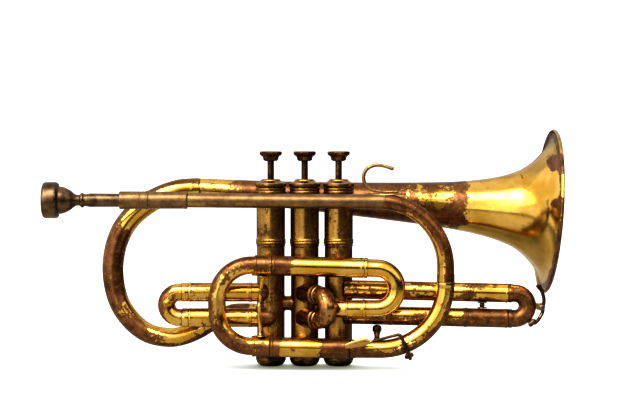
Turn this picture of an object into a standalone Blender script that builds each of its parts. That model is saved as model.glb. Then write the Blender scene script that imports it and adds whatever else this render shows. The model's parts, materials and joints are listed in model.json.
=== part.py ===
"""A valved brass cornet, built from separate tubes, valves, slides, caps and keys.

Frame: +X runs from the valves to the bell, +Y to the player's left, +Z up.
The origin is the centre of the middle valve's bottom cap, on the surface the caps stand on.
Every length below is in millimetres and is turned into metres by MM.
"""
import math

import bmesh
import bpy
from mathutils import Matrix, Vector

MM = 0.001
GAP = 0.3                     # clearance between two fixed pieces that touch

# Valves
VALVE_SPACING = 24.4
VALVES_X = (-VALVE_SPACING, 0.0, VALVE_SPACING)
TRAVEL = 12.6                 # stroke of a valve; the joint in the record uses it too
CASING_R = 10.0
CASING_TOP_R = 10.3
CASING_BORE = 8.7
BARREL_BORE = 9.4
CASING_BOTTOM_Z = 3.2
CASING_STEP_Z = 88.0
CASING_TOP_Z = 128.4
PISTON_R = 8.6
PISTON_BOTTOM_Z = 20.0
PISTON_TOP_Z = 76.0
BARREL_R = 8.2
BARREL_INNER_R = 6.9
BARREL_TOP_Z = 119.0
GUIDE_Z = 88.3
GUIDE_THICKNESS = 3.0
STEM_R = 2.4
BUTTON_TOP_Z = 154.6
PORT_R = 4.9
PORT_Z = 45.1                 # height of the tubes between the valves

# Tubes
WALL = 0.5
LEG_R = 6.0                   # inner leg of every slide
LEG_CLEARANCE = 0.4           # to the sleeve's bore, measured at the corners of its sides
SLEEVE_WALL = 0.4
BOW_R = 6.3
FRONT_Y = -20.5               # plane of the leadpipe, the right bow and the tuning loop
SLIDE_Y = -6.5                # plane of the first and third valve slides
LEADPIPE_Z = 119.2
LEADPIPE_R = 5.2
SLIDE_SLOPE = math.radians(1.4)   # the front loop and third slide droop towards the bell

# Bell
BELL_START = Vector((-76.8, 22.0, 126.5))
BELL_END = Vector((179.6, 29.0, 110.1))
BELL_RIM_R = 60.4
RIM_WIRE_R = 1.3

SIDES = 3                     # bevel resolution of a tube: 10 sides
BOW_SIDES = 2                 # bevel resolution of a bow: 8 sides
STEPS = 16                    # screw steps of a turned piece
HALF_TURN = 6                 # straight lengths in the half circle of a slide's bow


def clear_scene():
    for obj in list(bpy.data.objects):
        bpy.data.objects.remove(obj, do_unlink=True)


def new_collection(name):
    collection = bpy.data.collections.new(name)
    bpy.context.scene.collection.children.link(collection)
    return collection


def make_material(name, colour, roughness, metallic=1.0):
    mat = bpy.data.materials.new(name)
    mat.use_nodes = True
    shader = mat.node_tree.nodes["Principled BSDF"]
    shader.inputs["Base Color"].default_value = (*colour, 1.0)
    shader.inputs["Roughness"].default_value = roughness
    shader.inputs["Metallic"].default_value = metallic
    return mat


clear_scene()
PARTS = new_collection("cornet")
CUTTERS = new_collection("cutters")
LACQUER = make_material("lacquered_brass", (0.78, 0.50, 0.13), 0.25)
TARNISH = make_material("tarnished_brass", (0.36, 0.21, 0.12), 0.5)
BRONZE = make_material("dark_bronze", (0.13, 0.09, 0.06), 0.45)
STEEL = make_material("spring_steel", (0.45, 0.45, 0.46), 0.35)
NICKEL = make_material("piston_nickel", (0.62, 0.60, 0.56), 0.3)
CORK = make_material("cork", (0.45, 0.30, 0.17), 0.9, 0.0)


# ---------------------------------------------------------------- building blocks

def add_object(name, data, mat=None, collection=None):
    obj = bpy.data.objects.new(name, data)
    (collection or PARTS).objects.link(obj)
    if mat is not None:
        data.materials.clear()
        data.materials.append(mat)
    return obj


def settle(obj):
    """Replace an object by the mesh that its curve or modifiers make, with caps welded."""
    bpy.context.view_layer.update()
    evaluated = obj.evaluated_get(bpy.context.evaluated_depsgraph_get())
    mesh = bpy.data.meshes.new_from_object(evaluated)
    work = bmesh.new()
    work.from_mesh(mesh)
    bmesh.ops.remove_doubles(work, verts=work.verts, dist=0.00001)
    work.to_mesh(mesh)
    work.free()
    name, collection = obj.name, obj.users_collection[0]
    mats = [slot.material for slot in obj.material_slots]
    matrix = obj.matrix_world.copy()
    bpy.data.objects.remove(obj, do_unlink=True)
    mesh.materials.clear()
    for mat in mats:
        mesh.materials.append(mat)
    solid = bpy.data.objects.new(name, mesh)
    collection.objects.link(solid)
    solid.matrix_world = matrix
    mesh.shade_smooth()
    mesh.set_sharp_from_angle(angle=math.radians(35))
    return solid


def aim(direction):
    """Rotation that turns local +Z to the direction."""
    return Vector(direction).to_track_quat("Z", "Y").to_matrix().to_4x4()


def turned(name, profile, mat, at=(0, 0, 0), direction=(0, 0, 1), steps=STEPS, closed=False):
    """A turned solid. The profile (radius, height) runs down the outer side."""
    mesh = bpy.data.meshes.new(name)
    points = [(r * MM, 0.0, z * MM) for r, z in profile]
    edges = [(i, i + 1) for i in range(len(points) - 1)]
    if closed:
        edges.append((len(points) - 1, 0))
    mesh.from_pydata(points, edges, [])
    obj = add_object(name, mesh, mat)
    obj.matrix_world = Matrix.Translation(Vector(at) * MM) @ aim(direction)
    screw = obj.modifiers.new("turn", "SCREW")
    screw.steps = screw.render_steps = steps
    screw.use_merge_vertices = True
    screw.merge_threshold = 0.00001
    screw.use_normal_calculate = False
    return settle(obj)


def tube(name, points, radii, mat, wall=WALL, sides=SIDES, collection=None):
    """A tube along the points; with no wall it is a solid rod."""
    curve = bpy.data.curves.new(name, "CURVE")
    curve.dimensions = "3D"
    spline = curve.splines.new("POLY")
    spline.points.add(len(points) - 1)
    if not isinstance(radii, (list, tuple)):
        radii = [radii] * len(points)
    for i, (point, radius) in enumerate(zip(points, radii)):
        spline.points[i].co = (*(Vector(point) * MM), 1.0)
        spline.points[i].radius = radius
    curve.bevel_depth = MM
    curve.bevel_resolution = sides
    curve.use_fill_caps = wall is None
    obj = settle(add_object(name, curve, mat, collection))
    if wall is not None:
        shell = obj.modifiers.new("wall", "SOLIDIFY")
        shell.thickness = wall * MM
        shell.offset = -1.0
        obj = settle(obj)
    return obj


def cylinder(name, start, end, radius, segments=16, mat=None, collection=None):
    """A plain cylinder from one point to another."""
    start, end = Vector(start) * MM, Vector(end) * MM
    mesh = bpy.data.meshes.new(name)
    work = bmesh.new()
    bmesh.ops.create_cone(work, cap_ends=True, segments=segments, radius1=radius * MM,
                          radius2=radius * MM, depth=(end - start).length)
    work.to_mesh(mesh)
    work.free()
    obj = add_object(name, mesh, mat, collection)
    obj.matrix_world = Matrix.Translation((start + end) / 2) @ aim(end - start)
    return obj


def block(name, centre, size, mat=None, collection=None, rotation=None):
    mesh = bpy.data.meshes.new(name)
    work = bmesh.new()
    bmesh.ops.create_cube(work, size=1.0, matrix=Matrix.Diagonal((*(Vector(size) * MM), 1.0)))
    work.to_mesh(mesh)
    work.free()
    obj = add_object(name, mesh, mat, collection)
    obj.matrix_world = Matrix.Translation(Vector(centre) * MM) @ (rotation or Matrix())
    return obj


def combine(obj, others, operation):
    """Apply a Boolean with each of the other objects in turn, then keep them as cutters."""
    for number, other in enumerate(others):
        for collection in list(other.users_collection):
            collection.objects.unlink(other)
        CUTTERS.objects.link(other)
        other.name = "cut_" + obj.name + "_" + str(number)
        other.hide_render = True
        other.display_type = "WIRE"
        step = obj.modifiers.new("join" if operation == "UNION" else "cut", "BOOLEAN")
        step.operation = operation
        step.solver = "EXACT"
        step.object = other
    return settle(obj)


def cut(obj, cutters):
    return combine(obj, cutters, "DIFFERENCE")


def join(obj, others):
    return combine(obj, others, "UNION")


# ---------------------------------------------------------------- paths

def rounded_path(corners, bends, steps_per_turn=18):
    """Straight runs between corners, with an arc of the given radius at each inner corner."""
    corners = [Vector(c) for c in corners]
    path = [corners[0]]
    for i, radius in enumerate(bends, start=1):
        before = (corners[i - 1] - corners[i]).normalized()
        after = (corners[i + 1] - corners[i]).normalized()
        opening = before.angle(after)
        reach = radius / math.tan(opening / 2)
        centre = corners[i] + (before + after).normalized() * (radius / math.sin(opening / 2))
        first = corners[i] + before * reach - centre
        turn = math.pi - opening
        axis = first.cross(corners[i] + after * reach - centre).normalized()
        count = max(2, round(steps_per_turn * turn / (2 * math.pi)))
        for k in range(count + 1):
            point = centre + Matrix.Rotation(turn * k / count, 3, axis) @ first
            if (point - path[-1]).length > 0.05:
                path.append(point)
    path.append(corners[-1])
    return path


def smooth(values, spans):
    """Catmull-Rom curve through numbers or vectors, with the given number of steps per span."""
    ends = [values[0] * 2 - values[1]] + list(values) + [values[-1] * 2 - values[-2]]
    result = []
    for i in range(1, len(ends) - 2):
        a, b, c, d = ends[i - 1:i + 3]
        for k in range(spans):
            t = k / spans
            result.append((b * 2 + (c - a) * t + (a * 2 - b * 5 + c * 4 - d) * t * t
                           + (b * 3 - a - c * 3 + d) * t ** 3) * 0.5)
    result.append(values[-1])
    return result


def sloped(x, y, z, slope=SLIDE_SLOPE, pivot_x=0.0):
    """A point on a line that drops by the slope as it runs to +X; z is its height at pivot_x."""
    return Vector((x, y, z - math.tan(slope) * (x - pivot_x)))


def u_bow(name, upper, lower, axis, half_turn_r, leg, ferrule, mat):
    """A slide's bow: inner leg, ferrule, half circle, ferrule, inner leg.

    upper and lower are the ends of the two sleeves and axis the way the slide pulls out.
    """
    out = Vector(axis).normalized()
    shape = [(-leg, LEG_R), (GAP, LEG_R), (GAP + 0.2, ferrule[1]), (ferrule[0], ferrule[1]),
             (ferrule[0] + 0.3, BOW_R)]
    path = [upper + out * s for s, _ in shape]
    radii = [r for _, r in shape]
    centre = (upper + lower) / 2 + out * (ferrule[0] + 2.0)
    start = (upper - lower).normalized() * half_turn_r
    turn_axis = start.cross(out).normalized()
    for k in range(HALF_TURN + 1):
        path.append(centre + Matrix.Rotation(math.pi * k / HALF_TURN, 3, turn_axis) @ start)
        radii.append(BOW_R)
    for s, r in reversed(shape):
        path.append(lower + out * s)
        radii.append(r)
    return tube(name, path, radii, mat, wall=SLEEVE_WALL, sides=BOW_SIDES)


# ---------------------------------------------------------------- valves

def casing_cutter(x, grow=GAP):
    """The casing's outside, a little larger, to trim a tube that meets it."""
    return cylinder("casing_cutter", (x, 0, -5), (x, 0, 150), CASING_R + grow, 16,
                    collection=CUTTERS)


def build_casing(number, x, ports):
    outer = [(10.9, CASING_TOP_Z), (10.9, 124.6), (CASING_TOP_R, 124.2), (CASING_TOP_R, 91.6),
             (CASING_TOP_R + 0.5, 91.0), (CASING_TOP_R + 0.5, 88.4), (CASING_R, 86.4),
             (CASING_R, CASING_BOTTOM_Z)]
    bore = [(CASING_BORE, CASING_BOTTOM_Z), (CASING_BORE, CASING_STEP_Z),
            (BARREL_BORE, CASING_STEP_Z), (BARREL_BORE, CASING_TOP_Z)]
    casing = turned("casing_" + number, outer + bore, LACQUER, (x, 0, 0), closed=True)
    cutters = [cylinder("port", start, end, PORT_R, 8, collection=CUTTERS)
               for start, end in ports]
    return cut(casing, cutters)


def build_piston(number, x):
    outer = [(BARREL_R, BARREL_TOP_Z), (BARREL_R, PISTON_TOP_Z + 0.5), (PISTON_R, PISTON_TOP_Z),
             (PISTON_R, PISTON_BOTTOM_Z), (0, PISTON_BOTTOM_Z)]
    inner = [(0, PISTON_TOP_Z + 1.5), (BARREL_INNER_R, PISTON_TOP_Z + 1.5),
             (BARREL_INNER_R, BARREL_TOP_Z)]
    piston = turned("piston_" + number, inner + outer, NICKEL, (x, 0, 0))
    reach = PISTON_R + 3
    lift = TRAVEL * 0.9
    ports = [cylinder("port", (x - reach, 0, z), (x + reach, 0, z), 4.2, 8, collection=CUTTERS)
             for z in (PORT_Z, PORT_Z + lift)]
    ports.append(cylinder("port", (x, -reach, PORT_Z - lift), (x, reach, PORT_Z - lift), 4.2, 8,
                          collection=CUTTERS))
    slot_low, slot_high = GUIDE_Z - 1.0, GUIDE_Z + GUIDE_THICKNESS + TRAVEL + 1.0
    slot = block("slot", (x, 0, (slot_low + slot_high) / 2), (4.4, 24, slot_high - slot_low),
                 collection=CUTTERS)
    return cut(piston, ports + [slot])


def build_valve_train(number, x):
    """Guide, spring, stem, finger button and the two caps of one valve."""
    guide = turned("valve_guide_" + number,
                   [(0, GUIDE_Z + GUIDE_THICKNESS), (6.6, GUIDE_Z + GUIDE_THICKNESS),
                    (6.6, GUIDE_Z), (0, GUIDE_Z)], BRONZE, (x, 0, 0))
    join(guide, [block("ear", (x, 0, GUIDE_Z + GUIDE_THICKNESS / 2),
                       (3.8, 17.4, GUIDE_THICKNESS - 0.4))])

    turns, points_per_turn, wire_r, coil_r = 4, 7, 0.45, 4.6
    low = GUIDE_Z + GUIDE_THICKNESS + wire_r + 0.1
    high = BARREL_TOP_Z - wire_r - 0.3
    count = turns * points_per_turn
    coil = [Vector((x + coil_r * math.cos(2 * math.pi * k / points_per_turn),
                    coil_r * math.sin(2 * math.pi * k / points_per_turn),
                    low + (high - low) * k / count)) for k in range(count + 1)]
    tube("valve_spring_" + number, coil, wire_r, STEEL, wall=None, sides=0)

    top = BUTTON_TOP_Z
    turned("stem_" + number,
           [(0, top - 6.4), (STEM_R, top - 6.4), (STEM_R, BARREL_TOP_Z + 4.2),
            (6.0, BARREL_TOP_Z + 4.0), (7.4, BARREL_TOP_Z + 3.4), (7.4, BARREL_TOP_Z + 0.3),
            (0, BARREL_TOP_Z + 0.3)], BRONZE, (x, 0, 0), steps=16)
    turned("finger_button_" + number,
           [(0, top), (7.6, top), (8.1, top - 0.8), (7.8, top - 2.6), (6.4, top - 3.4),
            (5.2, top - 6.4), (3.0, top - 7.2), (STEM_R + 0.3, top - 7.2),
            (STEM_R + 0.3, top - 6.1), (0, top - 6.1)], BRONZE, (x, 0, 0))
    turned("top_cap_" + number,
           [(6.9, 134.6), (11.3, 130.8), (11.3, 129.6), (10.6, 128.8), (9.0, 128.8),
            (9.0, 124.6), (7.9, 124.6), (7.9, 129.6), (3.0, 131.8), (3.0, 134.6)],
           TARNISH, (x, 0, 0), closed=True)
    turned("bottom_cap_" + number,
           [(0, 1.8), (8.2, 1.8), (8.6, 2.8), (10.35, 2.8), (10.35, 8.6), (10.9, 8.2),
            (10.9, 4.3), (10.2, 2.8), (7.0, 0.0), (0, 0)], TARNISH, (x, 0, 0))


# ---------------------------------------------------------------- slide layout

FIRST_OUT = Vector((-1, 0, 0))
FIRST_Z = (53.6, 35.3)
FIRST_END_X = -82.9
FIRST_RING_X = -37.8
FIRST_SLEEVE_R = 6.75

SECOND_ANGLE = math.radians(58)   # the second slide pulls out forwards and to the right
SECOND_OUT = Vector((math.cos(SECOND_ANGLE), -math.sin(SECOND_ANGLE), 0))
SECOND_Z = (53.0, 35.6)
SECOND_START = Vector((1.0, -7.5, 0))
SECOND_LENGTH = 15.0
SECOND_SLEEVE_R = 6.75

THIRD_OUT = Vector((math.cos(SLIDE_SLOPE), 0, -math.sin(SLIDE_SLOPE)))
THIRD_Z = (56.5, 38.3)        # heights where the legs would cross the middle valve
THIRD_END_X = 145.6
THIRD_SPLIT_X = 115.6
THIRD_SLEEVE_R = 6.75

LOOP_OUT = Vector((-math.cos(SLIDE_SLOPE), 0, math.sin(SLIDE_SLOPE)))
LOOP_Z = (73.2, 15.3)         # heights where the legs cross the middle valve
LOOP_SLEEVE_START = (-23.0, -24.6)
LOOP_UPPER_END_X = 42.0
LOOP_LOWER_END_X = 31.4
LOOP_SLEEVE_R = 7.15
LOOP_LEFT_X = -62.2


def build_valves():
    left, middle, right = VALVES_X
    outward = 16.0            # how far a port cutter reaches past the valve's axis
    through = [((x - outward, 0, PORT_Z), (x + outward, 0, PORT_Z)) for x in VALVES_X]
    ports = {
        left: [((left, SLIDE_Y * 0.6, z), (left - outward, SLIDE_Y * 0.6, z)) for z in FIRST_Z]
        + [((left, 0, PORT_Z), through[0][1]), ((left, 0, 37.4), (left - 8, outward, 37.4))],
        middle: [((0, 0, z), (outward * 0.7, -outward * 0.7, z)) for z in SECOND_Z]
        + [through[1]],
        right: [((right, SLIDE_Y * 0.6, z - 0.7), (right + outward, SLIDE_Y * 0.6, z - 0.7))
                for z in THIRD_Z]
        + [((right, 0, PORT_Z), through[2][0]), ((right, 0, 42.6), (right + 2, -outward, 42.6))],
    }
    for number, x in zip("123", VALVES_X):
        build_casing(number, x, ports[x])
        build_piston(number, x)
        build_valve_train(number, x)
    for name, x in (("crossover_12", left), ("crossover_23", middle)):
        pipe = tube(name, [(x + 8, 0, PORT_Z), (x + VALVE_SPACING - 8, 0, PORT_Z)], 5.2, TARNISH)
        cut(pipe, [casing_cutter(x), casing_cutter(x + VALVE_SPACING)])


# ---------------------------------------------------------------- front tubes

def build_mouthpiece():
    """Rim to the left; the shank seats in the receiver."""
    outside = [(11.2, 0.0), (12.9, 1.4), (12.9, 9.8), (9.9, 11.4), (9.2, 15.6), (5.2, 21.6),
               (3.9, 23.8), (3.9, 26.0), (5.4, 27.6), (4.3, 30.0), (4.9, 33.0), (4.2, 78.0)]
    bore = [(1.9, 78.0), (1.4, 24.0), (6.2, 12.0), (8.1, 0.6)]
    profile = [(r, -s) for r, s in outside + bore]
    turned("mouthpiece", profile, BRONZE, (-185.3, FRONT_Y, LEADPIPE_Z + 1.0), (-1, 0, 0),
           closed=True)


def build_leadpipe():
    turned("receiver",
           [(5.9, 0.0), (6.3, -0.6), (6.3, -18.9), (6.6, -19.1), (6.6, -20.4), (6.1, -20.6),
            (6.1, -48.2), (5.2, -48.2), (5.2, 0.0)],
           TARNISH, (-131.2, FRONT_Y, LEADPIPE_Z + 1.0), (-1, 0, 0), closed=True, steps=12)
    ring_z = 62.3
    path = rounded_path([(-82.6, FRONT_Y, LEADPIPE_Z + 1.0), (28, FRONT_Y, LEADPIPE_Z),
                         (100.1, FRONT_Y, LEADPIPE_Z), (100.1, FRONT_Y, ring_z)], [800.0, 46.8])
    lengths = [0.0]
    for a, b in zip(path, path[1:]):
        lengths.append(lengths[-1] + (b - a).length)
    widening_starts = 110.0
    radii = [LEADPIPE_R + 1.15 * max(0.0, (s - widening_starts) / (lengths[-1] - widening_starts))
             for s in lengths]
    tube("leadpipe", path, radii, TARNISH)
    lower_z = sloped(0, 0, LOOP_Z[1]).z
    path = rounded_path([(100.1, FRONT_Y, ring_z - GAP), (100.1, FRONT_Y, lower_z - 1.2),
                         sloped(LOOP_LOWER_END_X + 1.0, FRONT_Y, LOOP_Z[1])], [46.4])
    tube("right_bow", path, [6.6] + [6.4] * (len(path) - 2) + [6.5], LACQUER)


def build_front_loop():
    for name, start_x, end_x, z in (
            ("main_sleeve_upper", LOOP_SLEEVE_START[0], LOOP_UPPER_END_X, LOOP_Z[0]),
            ("main_sleeve_lower", LOOP_SLEEVE_START[1], LOOP_LOWER_END_X, LOOP_Z[1])):
        stations = [start_x, start_x + 1.5, start_x + 1.9, end_x]
        tube(name, [sloped(s, FRONT_Y, z) for s in stations],
             [LOOP_SLEEVE_R + 0.3, LOOP_SLEEVE_R + 0.3, LOOP_SLEEVE_R, LOOP_SLEEVE_R], LACQUER,
             wall=LOOP_SLEEVE_R - LEG_R - LEG_CLEARANCE)

    leg, ferrule, corner = 40.0, 12.6, 24.7
    upper = sloped(LOOP_SLEEVE_START[0], FRONT_Y, LOOP_Z[0])
    lower = sloped(LOOP_SLEEVE_START[1], FRONT_Y, LOOP_Z[1])
    bend = rounded_path([upper + LOOP_OUT * (ferrule + 0.6),
                         sloped(LOOP_LEFT_X, FRONT_Y, LOOP_Z[0]),
                         sloped(LOOP_LEFT_X, FRONT_Y, LOOP_Z[1]),
                         lower + LOOP_OUT * (ferrule + 0.6)], [corner, corner])
    steps = [(-leg, LEG_R), (GAP, LEG_R), (GAP + 0.3, 7.1), (ferrule, 7.1)]
    path = [upper + LOOP_OUT * s for s, _ in steps] + bend
    path += [lower + LOOP_OUT * s for s, _ in reversed(steps)]
    radii = [r for _, r in steps] + [BOW_R] * len(bend) + [r for _, r in reversed(steps)]
    tube("tuning_bow", path, radii, LACQUER, wall=SLEEVE_WALL, sides=BOW_SIDES)

    top = sloped(-29.6, FRONT_Y - 1.5, LOOP_Z[0] - 7.1 - GAP)
    foot = sloped(-31.0, FRONT_Y - 1.5, LOOP_Z[1] + 7.1 + GAP)
    tube("tuning_brace",
         [top, top - Vector((0.1, 0, 0.8)), top - Vector((0.2, 0, 0.9)),
          top + Vector((-2.6, 0, -26)), foot + Vector((0.2, 0, 0.9)),
          foot + Vector((0.1, 0, 0.8)), foot],
         [3.4, 3.4, 1.15, 1.15, 1.15, 3.4, 3.4], LACQUER, wall=None, sides=2)

    crook_r = 14.6
    upper = sloped(LOOP_UPPER_END_X + GAP, FRONT_Y, LOOP_Z[0])
    side_x = 65.4
    low_z = upper.z - 2 * crook_r
    elbow_x = VALVES_X[2] - 2.8
    path = rounded_path([upper, Vector((side_x, FRONT_Y, upper.z - 0.6)),
                         Vector((side_x, FRONT_Y, low_z)), Vector((elbow_x, FRONT_Y, low_z)),
                         Vector((elbow_x, -3.0, low_z))], [crook_r - 0.4, crook_r - 0.4, 7.0])
    crook = tube("crook", path, [7.1] + [BOW_R] * (len(path) - 1), LACQUER, sides=BOW_SIDES)
    cut(crook, [casing_cutter(VALVES_X[2])])


# ---------------------------------------------------------------- valve slides

def sleeve(name, points, radii, mat, casing_x):
    """An outer slide tube whose bore clears the inner leg; it ends against a casing."""
    pipe = tube(name, points, radii, mat, wall=min(radii) - LEG_R - LEG_CLEARANCE)
    return cut(pipe, [casing_cutter(casing_x)])


def build_first_slide():
    for name, z in zip(("first_sleeve_upper", "first_sleeve_lower"), FIRST_Z):
        stations = [VALVES_X[0] - 2, FIRST_RING_X, FIRST_RING_X - 0.3, FIRST_RING_X - 2.0,
                    FIRST_RING_X - 2.3, FIRST_END_X]
        r = FIRST_SLEEVE_R
        sleeve(name, [Vector((s, SLIDE_Y, z)) for s in stations],
               [r, r, r + 0.35, r + 0.35, r, r], LACQUER, VALVES_X[0])
    upper, lower = [Vector((FIRST_END_X, SLIDE_Y, z)) for z in FIRST_Z]
    u_bow("first_bow", upper, lower, FIRST_OUT, (FIRST_Z[0] - FIRST_Z[1]) / 2, 36.0,
          (5.0, FIRST_SLEEVE_R), LACQUER)


def build_second_slide():
    ends = []
    for name, z in zip(("second_sleeve_upper", "second_sleeve_lower"), SECOND_Z):
        start = SECOND_START + Vector((0, 0, z))
        end = start + SECOND_OUT * SECOND_LENGTH
        ends.append(end)
        back = start - SECOND_OUT * 3.0
        r = SECOND_SLEEVE_R
        sleeve(name, [back, end - SECOND_OUT * 2.2, end - SECOND_OUT * 2.0, end],
               [r, r, r + 0.35, r + 0.35], TARNISH, VALVES_X[1])
    u_bow("second_bow", ends[0], ends[1], SECOND_OUT, (SECOND_Z[0] - SECOND_Z[1]) / 2, 5.0,
          (3.0, SECOND_SLEEVE_R), TARNISH)
    middle = (ends[0] + ends[1]) / 2 + SECOND_OUT * 5.0
    turned("second_pull_knob",
           [(0, 5.2), (1.6, 5.0), (2.0, 3.8), (1.9, -3.8), (1.6, -5.0), (0, -5.2)], BRONZE,
           middle, SECOND_OUT.cross(Vector((0, 0, 1))), steps=10)


def build_third_slide():
    start_x = VALVES_X[2] + 4
    r = THIRD_SLEEVE_R
    ring_x = 60.6
    stations = [start_x, ring_x, ring_x + 0.3, ring_x + 2, ring_x + 2.3, THIRD_END_X]
    swell = [r, r, r + 0.35, r + 0.35, r, r]
    sleeve("third_sleeve_upper", [sloped(s, SLIDE_Y, THIRD_Z[0]) for s in stations], swell,
           LACQUER, VALVES_X[2])
    stations = stations[:-1] + [THIRD_SPLIT_X, THIRD_SPLIT_X + 0.3, THIRD_END_X]
    sleeve("third_sleeve_lower", [sloped(s, SLIDE_Y, THIRD_Z[1]) for s in stations],
           swell[:-1] + [r, r + 0.15, r + 0.15], LACQUER, VALVES_X[2])
    upper, lower = [sloped(THIRD_END_X, SLIDE_Y, z) for z in THIRD_Z]
    u_bow("third_bow", upper, lower, THIRD_OUT, (THIRD_Z[0] - THIRD_Z[1]) / 2, 27.0,
          (3.2, THIRD_SLEEVE_R), LACQUER)
    ball_x = 127.4
    top = sloped(ball_x, SLIDE_Y, THIRD_Z[0]).z - r - GAP
    foot = sloped(ball_x, SLIDE_Y, THIRD_Z[1]).z + r + 0.1 + GAP
    middle = (top + foot) / 2
    half = (top - foot) / 2
    turned("third_brace",
           [(0, half), (3.6, half), (3.2, half - 0.5), (0.9, half - 0.7), (1.7, 0.8), (1.9, 0),
            (1.7, -0.8), (0.9, 0.7 - half), (3.2, 0.5 - half), (3.6, -half), (0, -half)],
           BRONZE, (ball_x, SLIDE_Y, middle), steps=12)


# ---------------------------------------------------------------- bell

def bell_point(distance):
    return BELL_START + (BELL_END - BELL_START).normalized() * distance


def build_bell():
    length = (BELL_END - BELL_START).length
    stations = [0.0, 0.24, 0.46, 0.63, 0.74, 0.83, 0.89, 0.93, 0.963, 0.985, 1.0]
    widths = [8.0, 9.8, 12.6, 15.4, 18.0, 21.9, 26.7, 32.4, 40.4, 48.8, BELL_RIM_R - RIM_WIRE_R]
    outer = [(r, share * length) for r, share in zip(widths, stations)]
    inner = [(r - WALL * 1.2, z + min(0.9, 0.02 * r)) for r, z in outer]
    inner[0] = (inner[0][0], 0.0)
    last_r, last_z = outer.pop()
    inner.pop()
    wire = [(last_r + RIM_WIRE_R * math.cos(a), last_z + RIM_WIRE_R * (math.sin(a) - 0.2))
            for a in [math.radians(d) for d in (150, 80, 10, -60, -130)]]
    profile = wire + outer[::-1] + inner
    bell = turned("bell", profile, LACQUER, BELL_START, BELL_END - BELL_START, steps=22,
                  closed=True)

    tail = Vector((-30.0, 6.0, 37.4))
    through = [tail, Vector((-41, 10.5, 37.5)), Vector((-53, 12, 36.6)), Vector((-66, 12.6, 31.4)),
               Vector((-77, 13, 24.8)), Vector((-88.2, 13.2, 20.2)), Vector((-100, 13.6, 18.6)),
               Vector((-115, 14.2, 22.0)), Vector((-128, 15.2, 32.4)), Vector((-137, 16.6, 47.6)),
               Vector((-140.4, 18.2, 68.5)), Vector((-137, 19.6, 89.0)),
               Vector((-127.5, 20.6, 105.5)), Vector((-111, 21.2, 118.6)),
               Vector((-94, 21.6, 125.4)), bell_point(-4.0), bell_point(-GAP)]
    path = smooth(through, 1)
    radii = [6.3 + (7.9 - 6.3) * min(1.0, k / (len(path) * 0.72)) for k in range(len(path))]
    bow = tube("bell_bow", path, radii, LACQUER)
    cut(bow, [casing_cutter(VALVES_X[0])])


# ---------------------------------------------------------------- braces, hook and post

def build_braces():
    half = [(0, 2.4), (3.4, 2.4), (3.4, 1.9), (1.5, 1.6), (1.5, -1.6), (3.4, -1.9), (3.4, -2.4),
            (0, -2.4)]
    front_gap = -FRONT_Y - LEADPIPE_R - CASING_TOP_R
    reach = (front_gap / 2 - GAP) / 2.4
    turned("leadpipe_brace", [(r, z * reach) for r, z in half], BRONZE,
           (0, -CASING_TOP_R - front_gap / 2, LEADPIPE_Z), (0, 1, 0), steps=10)
    at_valve = bell_point((0 - BELL_START.x) / (BELL_END - BELL_START).normalized().x)
    bell_front = at_valve.y - 11.3
    back_gap = bell_front - CASING_TOP_R
    reach = (back_gap / 2 - GAP) / 2.4
    turned("bell_brace", [(r, z * reach) for r, z in half], BRONZE,
           (0, CASING_TOP_R + back_gap / 2, at_valve.z - 1.0), (0, 1, 0), steps=10)

    top = sloped(51.8, SLIDE_Y - 3, THIRD_Z[1]).z - THIRD_SLEEVE_R - 0.9
    foot = sloped(51.6, FRONT_Y + 3.5, LOOP_Z[1]) + Vector((0, 0, 6.4))
    head = Vector((51.8, SLIDE_Y - 4.5, top))
    tube("slide_post", [head, head.lerp(foot, 0.25), head.lerp(foot, 0.32), head.lerp(foot, 0.5),
                        head.lerp(foot, 0.62), foot],
         [3.3, 3.3, 2.2, 2.6, 2.1, 2.1], BRONZE, wall=None, sides=3)


def build_finger_hook():
    pipe_top = LEADPIPE_Z + LEADPIPE_R + GAP
    foot_r, hook_r = 1.0, 1.25
    plan = [(66.5, pipe_top + foot_r + 0.4), (56, pipe_top + foot_r + 0.4),
            (48.5, pipe_top + foot_r + 1.6), (44.4, pipe_top + 5.2), (42.2, 133.4), (42.0, 138.4),
            (44.9, 142.9), (50.6, 145.0), (57.2, 144.1), (63.2, 142.2)]
    path = [Vector((x, FRONT_Y, z)) for x, z in plan]
    radii = [foot_r + (hook_r - foot_r) * min(1.0, k / 4) for k in range(len(path))]
    tube("finger_hook", path, radii, BRONZE, wall=None, sides=2)


# ---------------------------------------------------------------- water keys

def key_parts(number, pivot, hinge, lever_path, lever_radii, cork_at, cork_way, ear_reach, base):
    """Lever with barrel and cork cup, its two-eared saddle, the pin and the cork."""
    hinge = Vector(hinge).normalized()
    cork_way = Vector(cork_way).normalized()
    lever = tube("water_key_" + number, lever_path, lever_radii, BRONZE, wall=None, sides=2)
    barrel = cylinder("barrel", pivot - hinge * 2.6, pivot + hinge * 2.6, 1.9, 10)
    cup = cylinder("cup", cork_at + cork_way * 1.6, cork_at + cork_way * 3.4, 3.3, 12)
    lever = join(lever, [barrel, cup])
    cut(lever, [cylinder("pin_bore", pivot - hinge * 4, pivot + hinge * 4, 0.95, 10)])
    cylinder("key_cork_" + number, cork_at, cork_at + cork_way * 1.4, 2.7, 12, CORK)
    cylinder("key_pin_" + number, pivot - hinge * 5.4, pivot + hinge * 5.4, 0.75, 10, STEEL)
    away = Vector(ear_reach)
    turn = Matrix((hinge, away.normalized().cross(hinge), away.normalized())).transposed().to_4x4()
    saddle = block("key_saddle_" + number, Vector(base) + away.normalized() * 0.4,
                   (10.4, 4.4, 0.8), BRONZE, rotation=turn)
    ears = []
    for side in (-1, 1):
        middle = Vector(base) + away * 0.62 + hinge * side * 4.2
        ears.append(block("ear", middle, (2.0, 3.6, away.length * 1.22), rotation=turn))
    saddle = join(saddle, ears)
    cut(saddle, [cylinder("ear_bore", pivot - hinge * 7, pivot + hinge * 7, 0.95, 10)])


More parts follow.
